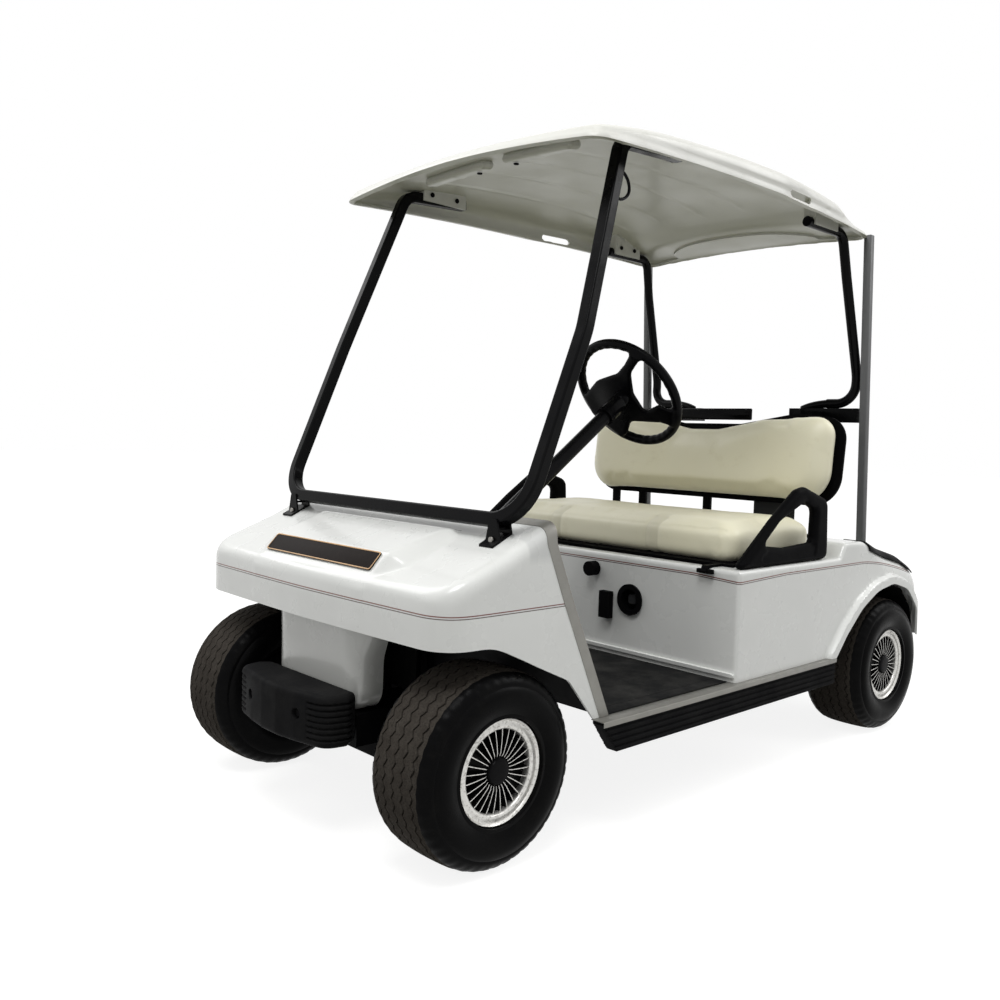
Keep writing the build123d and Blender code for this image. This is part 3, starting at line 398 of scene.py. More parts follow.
def wire(path, radius, roundness=2):
    """Round bar along a smooth run of points."""
    curve = bpy.data.curves.new("wire", "CURVE")
    curve.dimensions = "3D"
    curve.bevel_depth = radius * MM
    curve.bevel_resolution = roundness
    curve.use_fill_caps = True
    line = curve.splines.new("NURBS")
    line.points.add(len(path) - 1)
    for point, place in zip(line.points, path):
        point.co = (*(c * MM for c in place), 1)
    line.order_u = 4
    line.use_endpoint_u = True
    mesh = baked(linked("holder", curve))
    mesh.materials.clear()
    return mesh


def add(name, mesh, looks, replaces=(), body="chassis"):
    """Piece from a finished mesh with one or more finishes, riding on a body."""
    mesh.name = name
    for look in looks.split():
        mesh.materials.append(MAT[look])
    piece = linked(name, mesh)
    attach(piece, body)
    if replaces:
        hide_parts(*replaces)
    return piece


def once(side, node):
    """The node that a pair of pieces replaces, named by the left one only."""
    return [node] if side > 0 else []


# ---- materials
class Paint:
    """Node material built in short steps, placed by object coordinates in metres."""

    def __init__(self, name, colour, rough, **shader):
        self.material = bpy.data.materials.new(name)
        self.material.use_nodes = True
        self.tree = self.material.node_tree
        self.shader = self.tree.nodes["Principled BSDF"]
        self.tone = (*colour, 1)
        self.shader.inputs["Base Color"].default_value = self.tone
        self.shader.inputs["Roughness"].default_value = rough
        for key, value in shader.items():
            self.shader.inputs[key.replace("_", " ")].default_value = value
        self.height = None
        self.place = self.node("ShaderNodeTexCoord").outputs["Object"]

    def node(self, kind, **inputs):
        """Node whose settings and sockets are given by name, or a socket by i and its number."""
        made = self.tree.nodes.new(kind)
        for key, value in inputs.items():
            if hasattr(made, key):
                setattr(made, key, value)
                continue
            name = int(key[1:]) if key[0] == "i" and key[1:].isdigit() else key.replace("_", " ")
            self.feed(value, made.inputs[name])
        return made

    def feed(self, value, socket):
        if isinstance(value, bpy.types.NodeSocket):
            self.tree.links.new(value, socket)
        else:
            socket.default_value = value

    def math(self, operation, a, b=0.0):
        return self.node("ShaderNodeMath", operation=operation, i0=a, i1=b).outputs[0]

    def times(self, a, b):
        return self.math("MULTIPLY", a, b)

    def off(self, value, middle=0.0):
        """Distance of a value from a middle one."""
        return self.math("ABSOLUTE", self.math("SUBTRACT", value, middle))

    def part(self, value, low, high):
        """Value mapped so that low gives 0 and high gives 1."""
        made = self.node("ShaderNodeMapRange", i0=value, i1=low, i2=high)
        made.clamp = True
        return made.outputs[0]

    def noise(self, scale, detail=4, rough=0.55, stretch=(1, 1, 1)):
        where = self.place
        if stretch != (1, 1, 1):
            where = self.node("ShaderNodeMapping", i0=self.place, Scale=stretch).outputs[0]
        made = self.node("ShaderNodeTexNoise", Vector=where, Scale=scale, Detail=detail, Roughness=rough)
        return made.outputs[0]

    def cells(self, scale):
        return self.node("ShaderNodeTexVoronoi", Vector=self.place, Scale=scale).outputs[0]

    def axis(self, name):
        return self.node("ShaderNodeSeparateXYZ", i0=self.place).outputs[name]

    def upward(self):
        """1 where the surface faces up."""
        normal = self.node("ShaderNodeNewGeometry").outputs["Normal"]
        return self.node("ShaderNodeSeparateXYZ", i0=normal).outputs["Z"]

    def over(self, amount, colour):
        """Lay a colour over what is there, by an amount from 0 to 1."""
        made = self.tree.nodes.new("ShaderNodeMix")
        made.data_type = "RGBA"
        for index, value in ((0, amount), (6, self.tone), (7, (*colour, 1))):
            self.feed(value, made.inputs[index])
        self.tone = made.outputs[2]
        self.tree.links.new(self.tone, self.shader.inputs["Base Color"])
        return self

    def stain(self, share, colour, low, high, *noise):
        """Lay a share of a colour over the places where a noise is high."""
        amount = self.part(self.noise(*noise), low, high)
        return self.over(amount if share == 1 else self.times(amount, share), colour)

    def stripes(self, level, height, *halves):
        """Red coach line at a height, and a dark one under it, by their half widths."""
        for middle, half, tint in zip((height, height - STRIPE_GAP), halves, STRIPE_TINTS):
            self.over(self.part(self.off(level, middle), half + STRIPE_BLUR, half), tint)
        return self

    def vary_rough(self, low, high, *noise):
        made = self.node("ShaderNodeMapRange", i0=self.noise(*noise), i1=0.3, i2=0.7, i3=low, i4=high)
        self.tree.links.new(made.outputs[0], self.shader.inputs["Roughness"])
        return self

    def bump(self, height, strength, distance):
        made = self.node("ShaderNodeBump", Strength=strength, Distance=distance, Height=height)
        if self.height:
            self.tree.links.new(self.height, made.inputs["Normal"])
        self.height = made.outputs[0]
        self.tree.links.new(self.height, self.shader.inputs["Normal"])
        return self


DARK_FINISHES = {  # name, colour, roughness, scale and depth of the grain, then dust, shine and coat
    "plastic": ("black grained plastic", (0.003, 0.003, 0.0034), 0.5, 700, 0.0004),
    "paint": ("gloss black paint", (0.003, 0.003, 0.0034), 0.24, 90, 0.0004, 0.01, 0.06),
    "frame": ("satin black paint", (0.004, 0.004, 0.0044), 0.5, 60, 0.0008, 0.05),
    "grey": ("satin grey paint", (0.15, 0.153, 0.155), 0.45, 120, 0.0005, 0.12, 0.2),
    "dark_grey": ("dark grey plate", (0.035, 0.036, 0.038), 0.5, 120, 0.0005),
    "rubber": ("bumper rubber", (0.0085, 0.0085, 0.009), 0.6, 300, 0.0008, 0.06),
    "liner": ("black liner", (0.003, 0.003, 0.003), 0.8, 120, 0.002, 0.06),
    "glossy": ("steering plastic", (0.003, 0.003, 0.0035), 0.32, 500, 0.0004, 0.01, 0.05),
    "wheel_black": ("wheel black", (0.005, 0.005, 0.0055), 0.34, 200, 0.0004, 0.04, 0.02, 0.05),
    "battery": ("battery case", (0.05, 0.012, 0.012), 0.5, 60, 0.001),
    "iron": ("motor iron", (0.05, 0.05, 0.052), 0.55, 140, 0.002, 0.3),
}
WHITE = (0.78, 0.79, 0.765)
STRIPE_TINTS = ((0.17, 0.045, 0.035), (0.07, 0.04, 0.035))
STRIPE_GAP, STRIPE_BLUR = 0.005, 0.0004
BAND_SEAMS = (181, 224)  # of the bench, as distances from its middle


def black(name, colour, rough, grain, depth, dust=0.015, shine=0.02, coat=0.0):
    """Dark finish with a fine grain and some dust."""
    p = Paint(name, colour, rough, Coat_Weight=coat, Coat_Roughness=0.1, Specular_IOR_Level=shine)
    p.stain(dust, (0.16, 0.155, 0.14), 0.45, 0.8, 7, 6, 0.7)
    p.vary_rough(max(rough - 0.1, 0.05), rough + 0.12, 11, 5)
    return p.bump(p.noise(grain, 3), 0.35, depth)


def gloss_white(name):
    """White gel coat, a little uneven, streaked and flecked."""
    p = Paint(name, WHITE, 0.26, Coat_Weight=0.35, Coat_Roughness=0.08, Specular_IOR_Level=0.5)
    p.stain(1, tuple(c * 0.93 for c in WHITE), 0.42, 0.75, 2.2, 5)
    p.stain(0.12, (0.52, 0.51, 0.47), 0.60, 0.9, 5, 6, 0.7, (6, 6, 0.7))
    p.stain(0.35, (0.34, 0.32, 0.28), 0.74, 0.82, 160, 2)
    p.vary_rough(0.20, 0.38, 9, 5)
    p.bump(p.noise(14, 3), 0.035, 0.004)
    return p.bump(p.noise(420, 2), 0.02, 0.0004)


def cowl_white():
    """White with the coach lines, painted shade on the ledge behind the raised panel and a painted shadow
    line at its step.
    """
    p = gloss_white("gloss white cowl")
    height, along = p.axis("Z"), p.axis("Y")
    p.stripes(height, 0.5635, 0.0011, 0.0009)
    # painted shade on the lower ledge behind the raised panel
    shelf_shade = p.times(p.part(along, -0.803, -0.797), p.part(height, 0.655, 0.675))
    p.over(p.times(shelf_shade, 0.55), (0.56, 0.57, 0.56))
    # painted shadow line along the raised panel's rear step
    step_shadow = p.times(p.part(p.off(along, -0.7995), 0.0022, 0.0012), p.part(p.off(p.axis("X")), 0.292, 0.288))
    return p.over(p.times(step_shadow, 0.8), (0.12, 0.12, 0.12))


def body_white():
    """White with the coach lines, which dip along the bench and fall with the rear fenders."""
    p = gloss_white("gloss white body")
    along = p.axis("Y")
    side = p.part(p.off(p.axis("X")), 0.42, 0.57)
    dip = p.times(p.times(side, p.part(along, 0.16, -0.06)), 0.008)
    fall = p.times(p.math("POWER", p.part(along, 0.60, 0.95), 1.6), 0.055)
    level = p.math("ADD", p.axis("Z"), p.math("ADD", fall, dip))
    return p.stripes(level, 0.5715, 0.0013, 0.0010)


def skirt_white():
    """White that greys towards the bumper: painted shade under the cowl's overhang, with some grime."""
    p = gloss_white("gloss white")
    # painted shade under the cowl, darkest low down, with some grime
    return p.over(p.times(p.part(p.axis("Z"), 0.62, 0.30), 0.6), (0.45, 0.45, 0.42))


def canopy_cream():
    """Cream fibreglass, darker and greener where it faces down: painted shade on the underside, with its
    own greener tone.
    """
    p = Paint("canopy cream", (0.70, 0.70, 0.655), 0.38, Coat_Weight=0.15, Coat_Roughness=0.2)
    p.stain(1, (0.64, 0.64, 0.59), 0.4, 0.75, 1.6, 5)
    # painted shade where the surface faces down, with a greener tone
    p.over(p.times(p.part(p.upward(), 0.0, -0.5), 0.8), (0.47, 0.475, 0.365))
    p.stain(0.35, (0.42, 0.41, 0.34), 0.58, 0.8, 12, 6, 0.7)
    p.vary_rough(0.30, 0.46, 6, 4)
    return p.bump(p.noise(60, 4), 0.05, 0.001)


def mat_rubber():
    """Black mat with pale specks between its pips."""
    p = black("mat rubber", (0.012, 0.0122, 0.0125), 0.75, 260, 0.0015, 0.2)
    return p.over(p.times(p.part(p.cells(240), 0.10, 0.02), 0.5), (0.18, 0.18, 0.17))


def brushed_aluminium():
    p = Paint("brushed aluminium", (0.24, 0.235, 0.215), 0.42, Metallic=0.6)
    p.stain(0.5, (0.17, 0.165, 0.15), 0.45, 0.8, 18, 6, 0.7)
    p.vary_rough(0.34, 0.52, 30, 5)
    return p.bump(p.noise(60, 3, 0.6, (1, 30, 30)), 0.15, 0.0006)


def cream_vinyl():
    """Grained vinyl, with a darker band on each side of the bench between its front seams."""
    gloss = {"Coat_Weight": 0.1, "Coat_Roughness": 0.3, "Sheen_Weight": 0.1}
    p = Paint("cream vinyl", (0.90, 0.865, 0.66), 0.42, **gloss)
    p.stain(1, (0.86, 0.82, 0.60), 0.40, 0.75, 2.0, 5)
    p.stain(0.35, (0.60, 0.54, 0.34), 0.56, 0.85, 16, 6, 0.75)
    middle = sum(BAND_SEAMS) / 2 * MM
    band = p.times(p.part(p.off(p.off(p.axis("X")), middle), 0.026, 0.020), p.part(p.axis("Z"), 0.72, 0.70))
    p.over(p.times(band, 0.45), (0.62, 0.59, 0.45))
    p.vary_rough(0.34, 0.52, 8, 4)
    p.bump(p.cells(520), 0.14, 0.0006)
    return p.bump(p.noise(22, 4), 0.10, 0.003)


def tyre_tread():
    p = Paint("tyre tread", (0.044, 0.038, 0.032), 0.85, Specular_IOR_Level=0.04)
    p.stain(1, (0.070, 0.062, 0.053), 0.4, 0.72, 40, 6, 0.75)
    p.stain(0.7, (0.018, 0.016, 0.015), 0.5, 0.72, 260, 3)
    return p.bump(p.noise(330, 4), 0.5, 0.0016)


def tyre_sidewall():
    p = Paint("tyre sidewall", (0.003, 0.003, 0.0032), 0.3, Specular_IOR_Level=0.035)
    p.stain(0.08, (0.05, 0.047, 0.04), 0.5, 0.8, 24, 6, 0.7)
    p.vary_rough(0.22, 0.45, 15, 5)
    return p.bump(p.noise(260, 3), 0.2, 0.0006)


def wheel_silver():
    p = Paint("wheel silver", (0.72, 0.71, 0.68), 0.34, Metallic=0.6)
    p.stain(0.75, (0.12, 0.11, 0.09), 0.5, 0.72, 140, 4, 0.7)
    p.vary_rough(0.26, 0.5, 50, 5)
    return p.bump(p.noise(420, 3), 0.2, 0.0004)


def zinc_bolts():
    p = Paint("zinc bolts", (0.30, 0.29, 0.27), 0.4, Metallic=0.8)
    p.stain(0.7, (0.08, 0.07, 0.06), 0.45, 0.7, 300, 4)
    return p.bump(p.noise(500, 2), 0.2, 0.0003)


def plate_black():
    p = Paint("plate black", (0.012, 0.009, 0.008), 0.6, Specular_IOR_Level=0.08)
    p.stain(0.12, (0.05, 0.04, 0.035), 0.5, 0.8, 60, 5)
    return p.bump(p.noise(300, 2), 0.05, 0.0003)


def gold_edge():
    p = Paint("gold edge", (0.46, 0.28, 0.13), 0.35, Metallic=0.5)
    return p.stain(1, (0.32, 0.19, 0.09), 0.4, 0.8, 80, 3)


OTHER_FINISHES = {
    "cowl": cowl_white, "body": body_white, "white": skirt_white, "canopy": canopy_cream, "mat": mat_rubber,
    "aluminium": brushed_aluminium, "vinyl": cream_vinyl, "tread": tyre_tread, "sidewall": tyre_sidewall,
    "silver": wheel_silver, "bolt": zinc_bolts, "plate": plate_black, "gold": gold_edge,
}
MAT = {look: black(*values).material for look, values in DARK_FINISHES.items()}
MAT.update({look: make().material for look, make in OTHER_FINISHES.items()})
CAD_LOOKS = {
    "frame": "chassis_frame front_axle rear_axle battery_tray front_leaf_spring rear_leaf_springs tie_rod"
    " knuckle_left knuckle_right steering_gear front_shocks floor_pan pedals",
    "paint": "windscreen_frame rear_strut_left rear_strut_right bag_rack steering_column",
    "liner": "wheel_liners",
    "grey": "rear_posts",
    "aluminium": "sill_trims cowl_edge_trim",
    "rubber": "sills rear_bumper",
    "mat": "floor_mat",
    "canopy": "canopy canopy_brackets",
    "white": "front_cowl front_skirt rear_body",
    "plate": "name_plate",
    "vinyl": "seat_cushion seat_back_pad",
    "battery": "battery_pack",
    "iron": "drive_motor",
    "glossy": "steering_wheel",
}


def dress_nodes():
    """Give every CAD node its finish, or black plastic; a node that is replaced is hidden with it."""
    looks = {node: look for look, nodes in CAD_LOOKS.items() for node in nodes.split()}
    for name, piece in NODES.items():
        piece.data.materials.clear()
        piece.data.materials.append(MAT[looks.get(name, "plastic")])


# ---- front cowl
BODY_FOOT = 292.5  # lowest height of the painted body
COWL_SIDE = outline(
    [(-1048, 150), (-1056, 560), (-1042, 604), (-967, 637), (-848, 686), (-730, 744)]
    + [(-480, 800), (-480, 150)],
    [0, 60, 30, 60, 120, 90, 0, 0],
)
COWL_FRONT = outline(
    [(-576, 150), (-531, 560), (-513, 850), (513, 850), (531, 560), (576, 150)],
    [0, 90, 0, 0, 90, 0],
)
COWL_PLAN = outline(
    [(-576, -480), (-537, -1032), (0, -1056), (537, -1032), (576, -480)],
    [0, 105, 900, 105, 0],
)
PANEL_SIDE = outline(
    [(-1041, 588), (-1014, 620), (-976, 664), (-806, 721.5), (-797, 690), (-797, 500), (-1041, 500)],
    [10, 24, 16, 7, 0, 0, 0],
)
PANEL_PLAN = outline([(-272, -1090), (-304, -790), (304, -790), (272, -1090)], 0)
PANEL_LEAN = 1.7  # rise of the raised panel's ends against their run
COWL_KEEP = [(-1200, 489), (-905, 493), (-690, 392), (-606, 283)]
COWL_REAR = [(-560, 283), (-716, 700), (-716, 760), (-694, 900)]
COWL_BOX = (-600, -1080, 270), (600, -520, 800)
STRIP_WIDTH = 30


def under_body(x, y, z):
    return BODY_FOOT - z


def cowl_field(x, y, z):
    top = smax(COWL_SIDE(y, z), COWL_FRONT(x, z), 34)
    form = smax(top, COWL_PLAN(x, y), 30)
    height = PANEL_SIDE(y, z)
    slope = (PANEL_PLAN(x, y) + PANEL_LEAN * (height + 18)) / 1.97  # the length of (1, PANEL_LEAN)
    return smin(form, smax(height, slope, 8), 5)


def cowl_cut(back):
    """Field that is positive beyond the cowl's lower edge, and beyond its rear edge less a width."""
    rear = [(y - back, z) for y, z in COWL_REAR]
    face = outline([*COWL_KEEP, *rear, (-1200, 900)], [0, 150, 0, 0, 0, 25, 0, 0, 0])
    return lambda x, y, z: face(y, z)


def make_cowl():
    shell = skin(cowl_field, *COWL_BOX, 7, [cowl_cut(STRIP_WIDTH), under_body], 6)
    add("front_cowl_skin", shell, "cowl", ["front_cowl"])
    painted, edge = cowl_cut(STRIP_WIDTH + 0.3), cowl_cut(0)

    def off_strip(x, y, z):
        return -painted(x, y, z)

    strip = skin(grown(cowl_field, 1.2), *COWL_BOX, 6, [edge, off_strip, under_body], 7)
    add("cowl_edge_strip", strip, "aluminium", ["cowl_edge_trim"])


def make_name_plate():
    """Bare dark plate with a thin gold border."""
    turn = set_at(0, -995, 643, 48)
    edge, inner = (
        rounded(box_points(inset - 231, 231 - inset, inset - 23.5, 26.5 - inset), radius, 15)
        for inset, radius in ((0, 7), (3, 5))
    )
    plate = prism(edge, 0.5, 3.2, turn, 0.8)
    add("name_plate_face", plate, "plate", ["name_plate"])
    add("name_plate_border", prism(edge, 3.0, 3.9, turn, 0.3, inner), "gold")


# ---- rear body
BODY_HALF, BODY_FRONT, BODY_REAR = 575, -77, 1085
BODY_SIDE = outline(
    [(BODY_FRONT, 100), (BODY_FRONT, 592), (468, 592), (500, 637), (620, 635), (900, 570), (1050, 508)]
    + [(BODY_REAR, 430), (1073, 100)],
    [0, 6, 16, 20, 90, 120, 60, 90, 0],
)
BODY_PLAN = outline(box_points(-BODY_HALF, BODY_HALF, BODY_FRONT, BODY_REAR), [10, 10, 120, 120])
ARCH = outline(
    [(436, 290), (500, 356), (590, 428), (690, 474), (800, 490), (905, 462), (985, 385), (1010, 290)]
    + [(1010, 200), (436, 200)],
    [0, 120, 160, 160, 120, 90, 60, 0, 0, 0],
)
ARCH_INNER = 500  # x of the arches' inner walls
SOCKET = (201, 465, 40)  # x, z and radius of the charging hole


def body_field(x, y, z):
    lip = 17 * ease(33, 25, ARCH(y, z))
    corner = 12 + 70 * ease(560, 800, y) * ease(380, 480, z)
    form = smax(BODY_SIDE(y, z), BODY_PLAN(np.abs(x) - lip, y), corner)
    well = smax(smax(np.abs(x) - 340, np.maximum(640 - y, y - 1061), 40), 420 - z, 16)
    form = smax(form, -well, 14)
    bead = smax(smax(np.abs(z - 311) - 5, np.abs(y - BODY_FRONT) - 7, 5), np.abs(x) - 570, 5)
    return smin(form, bead, 5)


def body_openings(x, y, z):
    """Positive in the wheel arches, the battery opening under the bench and the charging hole."""
    side = np.abs(x)
    arch = np.maximum(ARCH(y, z), ARCH_INNER - side)
    pocket = np.maximum(np.maximum(side - 480, np.abs(y - 201) - 239), 562 - z)
    socket = np.maximum(np.hypot(x - SOCKET[0], z - SOCKET[1]) - SOCKET[2], y + 60)
    return -np.minimum(np.minimum(arch, pocket), socket)


def make_body():
    shell = skin(body_field, (-610, -100, 270), (610, 1120, 660), 8, [body_openings, under_body], 6)
    add("rear_body_skin", shell, "body", ["rear_body"])

    def off_edge(x, y, z):
        """Positive more than 24 mm under the body's top line."""
        return -BODY_SIDE(y, z + 24)

    def off_guards(x, y, z):
        return np.maximum(np.abs(y - 820) - 175, 484 - np.abs(x))

    room = (-610, 620, 500), (610, 1030, 660)
    guards = skin(grown(body_field, 5), *room, 6, [off_edge, off_guards], 4)
    add("scuff_guard_skin", guards, "plastic", ["scuff_guards"])


# ---- front end below the cowl
SKIRT_FRONT = outline(
    [(-182, 284), (182, 284), (184, 410), (236, 540), (-236, 540), (-184, 410)],
    [56, 56, 90, 0, 0, 90],
)
SKIRT_PLAN = outline(
    [(-249, -870), (-249, -960), (-150, -1010.5), (150, -1010.5), (249, -960), (249, -870)],
    [0, 60, 90, 90, 60, 0],
)
BUMPER_PLAN = outline(
    [(-208, -1042), (-197, -1099), (0, -1139), (197, -1099), (208, -1042), (186, -1012), (-186, -1012)],
    [10, 45, 1100, 45, 10, 0, 0],
)
BUMPER_Z, BUMPER_BOLT = 285, (105, 293)  # middle height; x and z of the bolts
SILL_IN, SILL_OUT, SILL_FRONT, SILL_REAR = 552, 590, -618, 440
SILL_BARS = (  # x from and to, y from and to, z from and to, bevel, finish, slot, replaced node
    ("sill_cap", 552, 591.5, -617, 439.5, 290.2, 292, 0.6, "aluminium", "trim_aluminium", "sill_trims"),
    ("sill_lip", 590.2, 591.8, -616, 439.5, 279, 291, 0.4, "aluminium", "trim_aluminium", ""),
    ("mat_edge", 512, 553, -560, -86, 287, 296.5, 1.5, "mat", "mat_rubber", ""),
)


def bumper_field(x, y, z):
    side, rise = np.abs(x), np.abs(z - BUMPER_Z)
    form = smax(BUMPER_PLAN(x, y), rise - 59.5, 16)
    ends = ease(136, 144, side) * ease(52, 44, rise) * ease(-1020, -1030, y)
    ribs = 5 * ease(0.28, 0.40, comb(z, 225, 13.33)) * ends
    bolt = np.hypot(side - BUMPER_BOLT[0], z - BUMPER_BOLT[1])
    recess = np.maximum(bolt - 12.5, -BUMPER_PLAN(x, y) - 12)
    return smax(form + ribs, -recess, 2)


def make_front_end():
    def skirt(x, y, z):
        return smax(SKIRT_FRONT(x, z), SKIRT_PLAN(x, y), 30)

    def off_skirt(x, y, z):
        """Positive behind the skirt and in the cowl above it."""
        return np.maximum(y + 935, z - 526)

    shell = skin(skirt, (-260, -1025, 275), (260, -865, 545), 6, [off_skirt], 5)
    add("front_skirt_skin", shell, "white", ["front_skirt"])
    # Black sheet across the space behind the skirt: painted shade standing in for the dark inside of the
    # front end.
    bay_shade = prism(box_points(-236, 236, 330, 521), 876, 880, set_at(0, 0, 0, 90))
    add("bay_shade_sheet", bay_shade, "liner")
    bumper = skin(bumper_field, (-235, -1146, 218), (235, -1004, 352), 3.5, sharp=50)
    add("front_bumper_skin", bumper, "rubber", ["front_bumper"])
    for k, (side, word) in enumerate(SIDES):
        make_sill(side, word)
        x, z = BUMPER_BOLT
        add(f"bumper_bolt_{k}", disc(8, 5, set_at(side * x, -1107, z, 90)), "frame")


def make_sill(side, word):
    """Grooved step with its cap and lip, and the edge of the mat beside it."""
    def sill(x, y, z):
        groove = 4.5 * (comb(z, 228, 15) < 0.17) * (z < 282)
        face = np.maximum(side * x - SILL_OUT + groove, SILL_IN - side * x)
        front = (SILL_FRONT + (290 - z) * 0.72 - y) / 1.23
        return np.maximum(np.maximum(face, np.abs(z - 251.5) - 38.5), np.maximum(front, y - SILL_REAR))

    x_low, x_high = across(side, 518, 593)
    step = skin(sill, (x_low, -625, 210), (x_high, 445, 300), 5, sharp=30)
    add("sill_skin_" + word, step, "rubber", once(side, "sills"))
    for name, inner, outer, front, rear, low, high, bevel, look, slot, node in SILL_BARS:
        bar = prism(box_points(*across(side, inner, outer), front, rear), low, high, None, bevel)
        add(f"{name}_{word}", bar, look, once(side, node) if node else [])


# ---- seat
ARM_OUT = outline(
    [(-65.5, 592.6), (407.5, 592.6), (407.5, 640), (399.5, 773), (270, 813.5), (230, 805.5), (108, 723.5)],
    [10, 24, 20, 36, 30, 40, 60],
)
ARM_HOLE = outline(
    [(58, 652), (140, 716), (272, 768), (332, 744), (328, 648), (170, 640)],
    [8, 80, 24, 20, 18, 60],
)
ARM_PANEL = outline([(20, 610), (330, 610), (340, 645), (90, 645)], 8)
CUSHION_PLAN = outline(box_points(-512, 512, -16, 454), 52)
BACK_FACE = outline(
    [(-514, 743), (514, 743), (516, 1026), (370, 1043), (240, 1040), (60, 1006)]
    + [(-60, 1006), (-240, 1040), (-370, 1043), (-516, 1026)],
    [108, 108, 75, 90, 120, 120, 120, 120, 90, 75],
)
BACK_LEAN = 7  # degrees, about the foot of the backrest
BACK_FOOT = (478, 752)  # y and z
CLOTH = {
    "quality": 4,
    "mass": 0.3,
    "tension_stiffness": 15,
    "compression_stiffness": 15,
    "bending_stiffness": 0.6,
    "use_pressure": True,
    "uniform_pressure_force": 4.0,
}
CLOTH_FRAMES = 20
SEAM_WIDTH = 6.5
FAR = 1000  # more than any distance to a seam


def coordinates(mesh):
    """Vertex places in millimetres."""
    flat = np.empty(len(mesh.vertices) * 3)
    mesh.vertices.foreach_get("co", flat)
    return flat.reshape(-1, 3) / MM


def store(mesh, places):
    mesh.vertices.foreach_set("co", (places * MM).ravel())
    mesh.update()


def stuffed(mesh, limit):
    """Blow a closed mesh up as cloth, no point moving further than a limit."""
    holder = linked("holder", mesh)
    cloth = holder.modifiers.new("cloth", "CLOTH")
    for key, value in CLOTH.items():
        setattr(cloth.settings, key, value)
    cloth.settings.effector_weights.gravity = 0
    cloth.collision_settings.use_collision = False
    cloth.point_cache.frame_start, cloth.point_cache.frame_end = 1, CLOTH_FRAMES
    for number in range(1, CLOTH_FRAMES + 1):
        scene.frame_set(number)
    before, after = coordinates(mesh), coordinates(baked(holder))
    scene.frame_set(1)
    move = after - before
    length = np.linalg.norm(move, axis=1, keepdims=True)
    store(mesh, before + move * np.minimum(1, limit / np.maximum(length, 1e-6)))
    return mesh


def padding(field, low, high, limit, room_low, room_high):
    """Blown-up mesh of a field's surface, kept inside a room and smoothed."""
    mesh = stuffed(skin(field, low, high, 11), limit)
    store(mesh, np.clip(coordinates(mesh), room_low, room_high))
    return applied(mesh, "SUBSURF", levels=1, render_levels=1)


def sewn(mesh, seams, depth):
    """Press seams into a mesh: seams(x, y, z) is the distance from the nearest one."""
    places = coordinates(mesh)
    normals = np.array([v.normal[:] for v in mesh.vertices])
    gap = seams(*places.T)[:, None]
    store(mesh, places - normals * depth * np.exp(-((gap / SEAM_WIDTH) ** 2)))
    return mesh


def make_pads():
    def bench(x, y, z):
        return smax(CUSHION_PLAN(x, y), np.abs(z - 646) - 45.5, 32)

    def bench_seams(x, y, z):
        """The piping along the front's top edge, and the bands' seams across the front."""
        seams = [np.abs(np.abs(x) - at) + FAR * (y > 60) for at in BAND_SEAMS]
        return np.minimum(np.minimum(*seams), np.abs(z - 688) + FAR * (y > 20))

    def backrest(x, y, z):
        return smax(BACK_FACE(x, z), np.abs(y - 509) - 36, 46)

    room = (-519.5, -23.5, 599.8), (519.5, 461.5, np.inf)
    cushion = sewn(padding(bench, (-530, -34, 590), (530, 474, 712), 24, *room), bench_seams, 2.2)
    piece = add("seat_cushion_pad", cushion, "vinyl", ["seat_cushion"], "seat_body")

    room = (-np.inf, -np.inf, -np.inf), (np.inf, 547.6, np.inf)
    back = padding(backrest, (-530, 460, 726), (530, 560, 1062), 20, *room)
    y, z = BACK_FOOT
    back.transform(set_at(0, y, z, -BACK_LEAN) @ set_at(0, -y, -z))
    piece = add("seat_back_cushion", back, "vinyl", ["seat_back_pad"])


def arm_field(x, y, z):
    form = smax(smax(ARM_OUT(y, z), -ARM_HOLE(y, z) - 0.5, 10), np.abs(x - 548) - 17.7, 20)
    return form + 3 * ease(2, -4, ARM_PANEL(y, z)) * ease(555, 561, x)


def make_armrests():
    for side, word in SIDES:
        def field(x, y, z, side=side):
            return arm_field(side * x, y, z)

        x_low, x_high = across(side, 522, 574)
        arm = skin(field, (x_low, -75, 584), (x_high, 416, 822), 5)
        add("armrest_skin_" + word, arm, "plastic", ["armrest_" + word])


# ---- small fittings
POST = [(742, 1628), (766, 1628), (815, 562), (791, 562)]  # y and z
STRUT_END = [(340, 1078), (300, 1077), (262, 1070), (236, 1058)]  # x and z
HOOK = [(437, -447, 1585), (434, -425, 1578), (432, -405, 1550), (433, -425, 1520)]
HOOK += [(437, -462, 1512), (437, -474, 1530)]


def make_fittings():
    rail = prism(box_points(-330, 146, -20, 20), -605, -592, set_at(0, 0, 1034, 90), 4)
    add("backrest_rail", rail, "paint")
    plate = prism(box_points(196, 352, -46, 44), -563, -558, set_at(0, 0, 697, 90), 2)
    add("bench_plate", plate, "dark_grey")
    upright = set_at(0, 0, 0, 90, 0, 90)  # turns an outline's x and y into y and z, and its height into x
    for side, word in SIDES:
        post = prism(POST, *across(side, 453, 479), upright, 3)
        add("rear_post_" + word, post, "grey", once(side, "rear_posts"))
        foot = disc(7, 6, set_at(side * 428, -826, 704, 90))
        add("foot_bolt_" + word, foot, "bolt")
        end = wire([(side * x, 779, z) for x, z in STRUT_END], 14, 4)
        add("strut_end_" + word, end, "paint")
        middle = side * 470
        hinge = prism(box_points(middle - 26, middle + 26, -92, -77.5), 577, 589, None, 3)
        add("seat_hinge_" + word, hinge, "liner", once(side, "seat_hinges"))
    add("coat_hook", wire(HOOK, 4), "paint")
    boss = rounded(box_points(-14, 14, -14, 14), 6, 20)
    pins = prism(boss, 0, 18, set_at(SOCKET[0], -52, SOCKET[1], 90), 2)
    add("charge_pins", pins, "dark_grey")


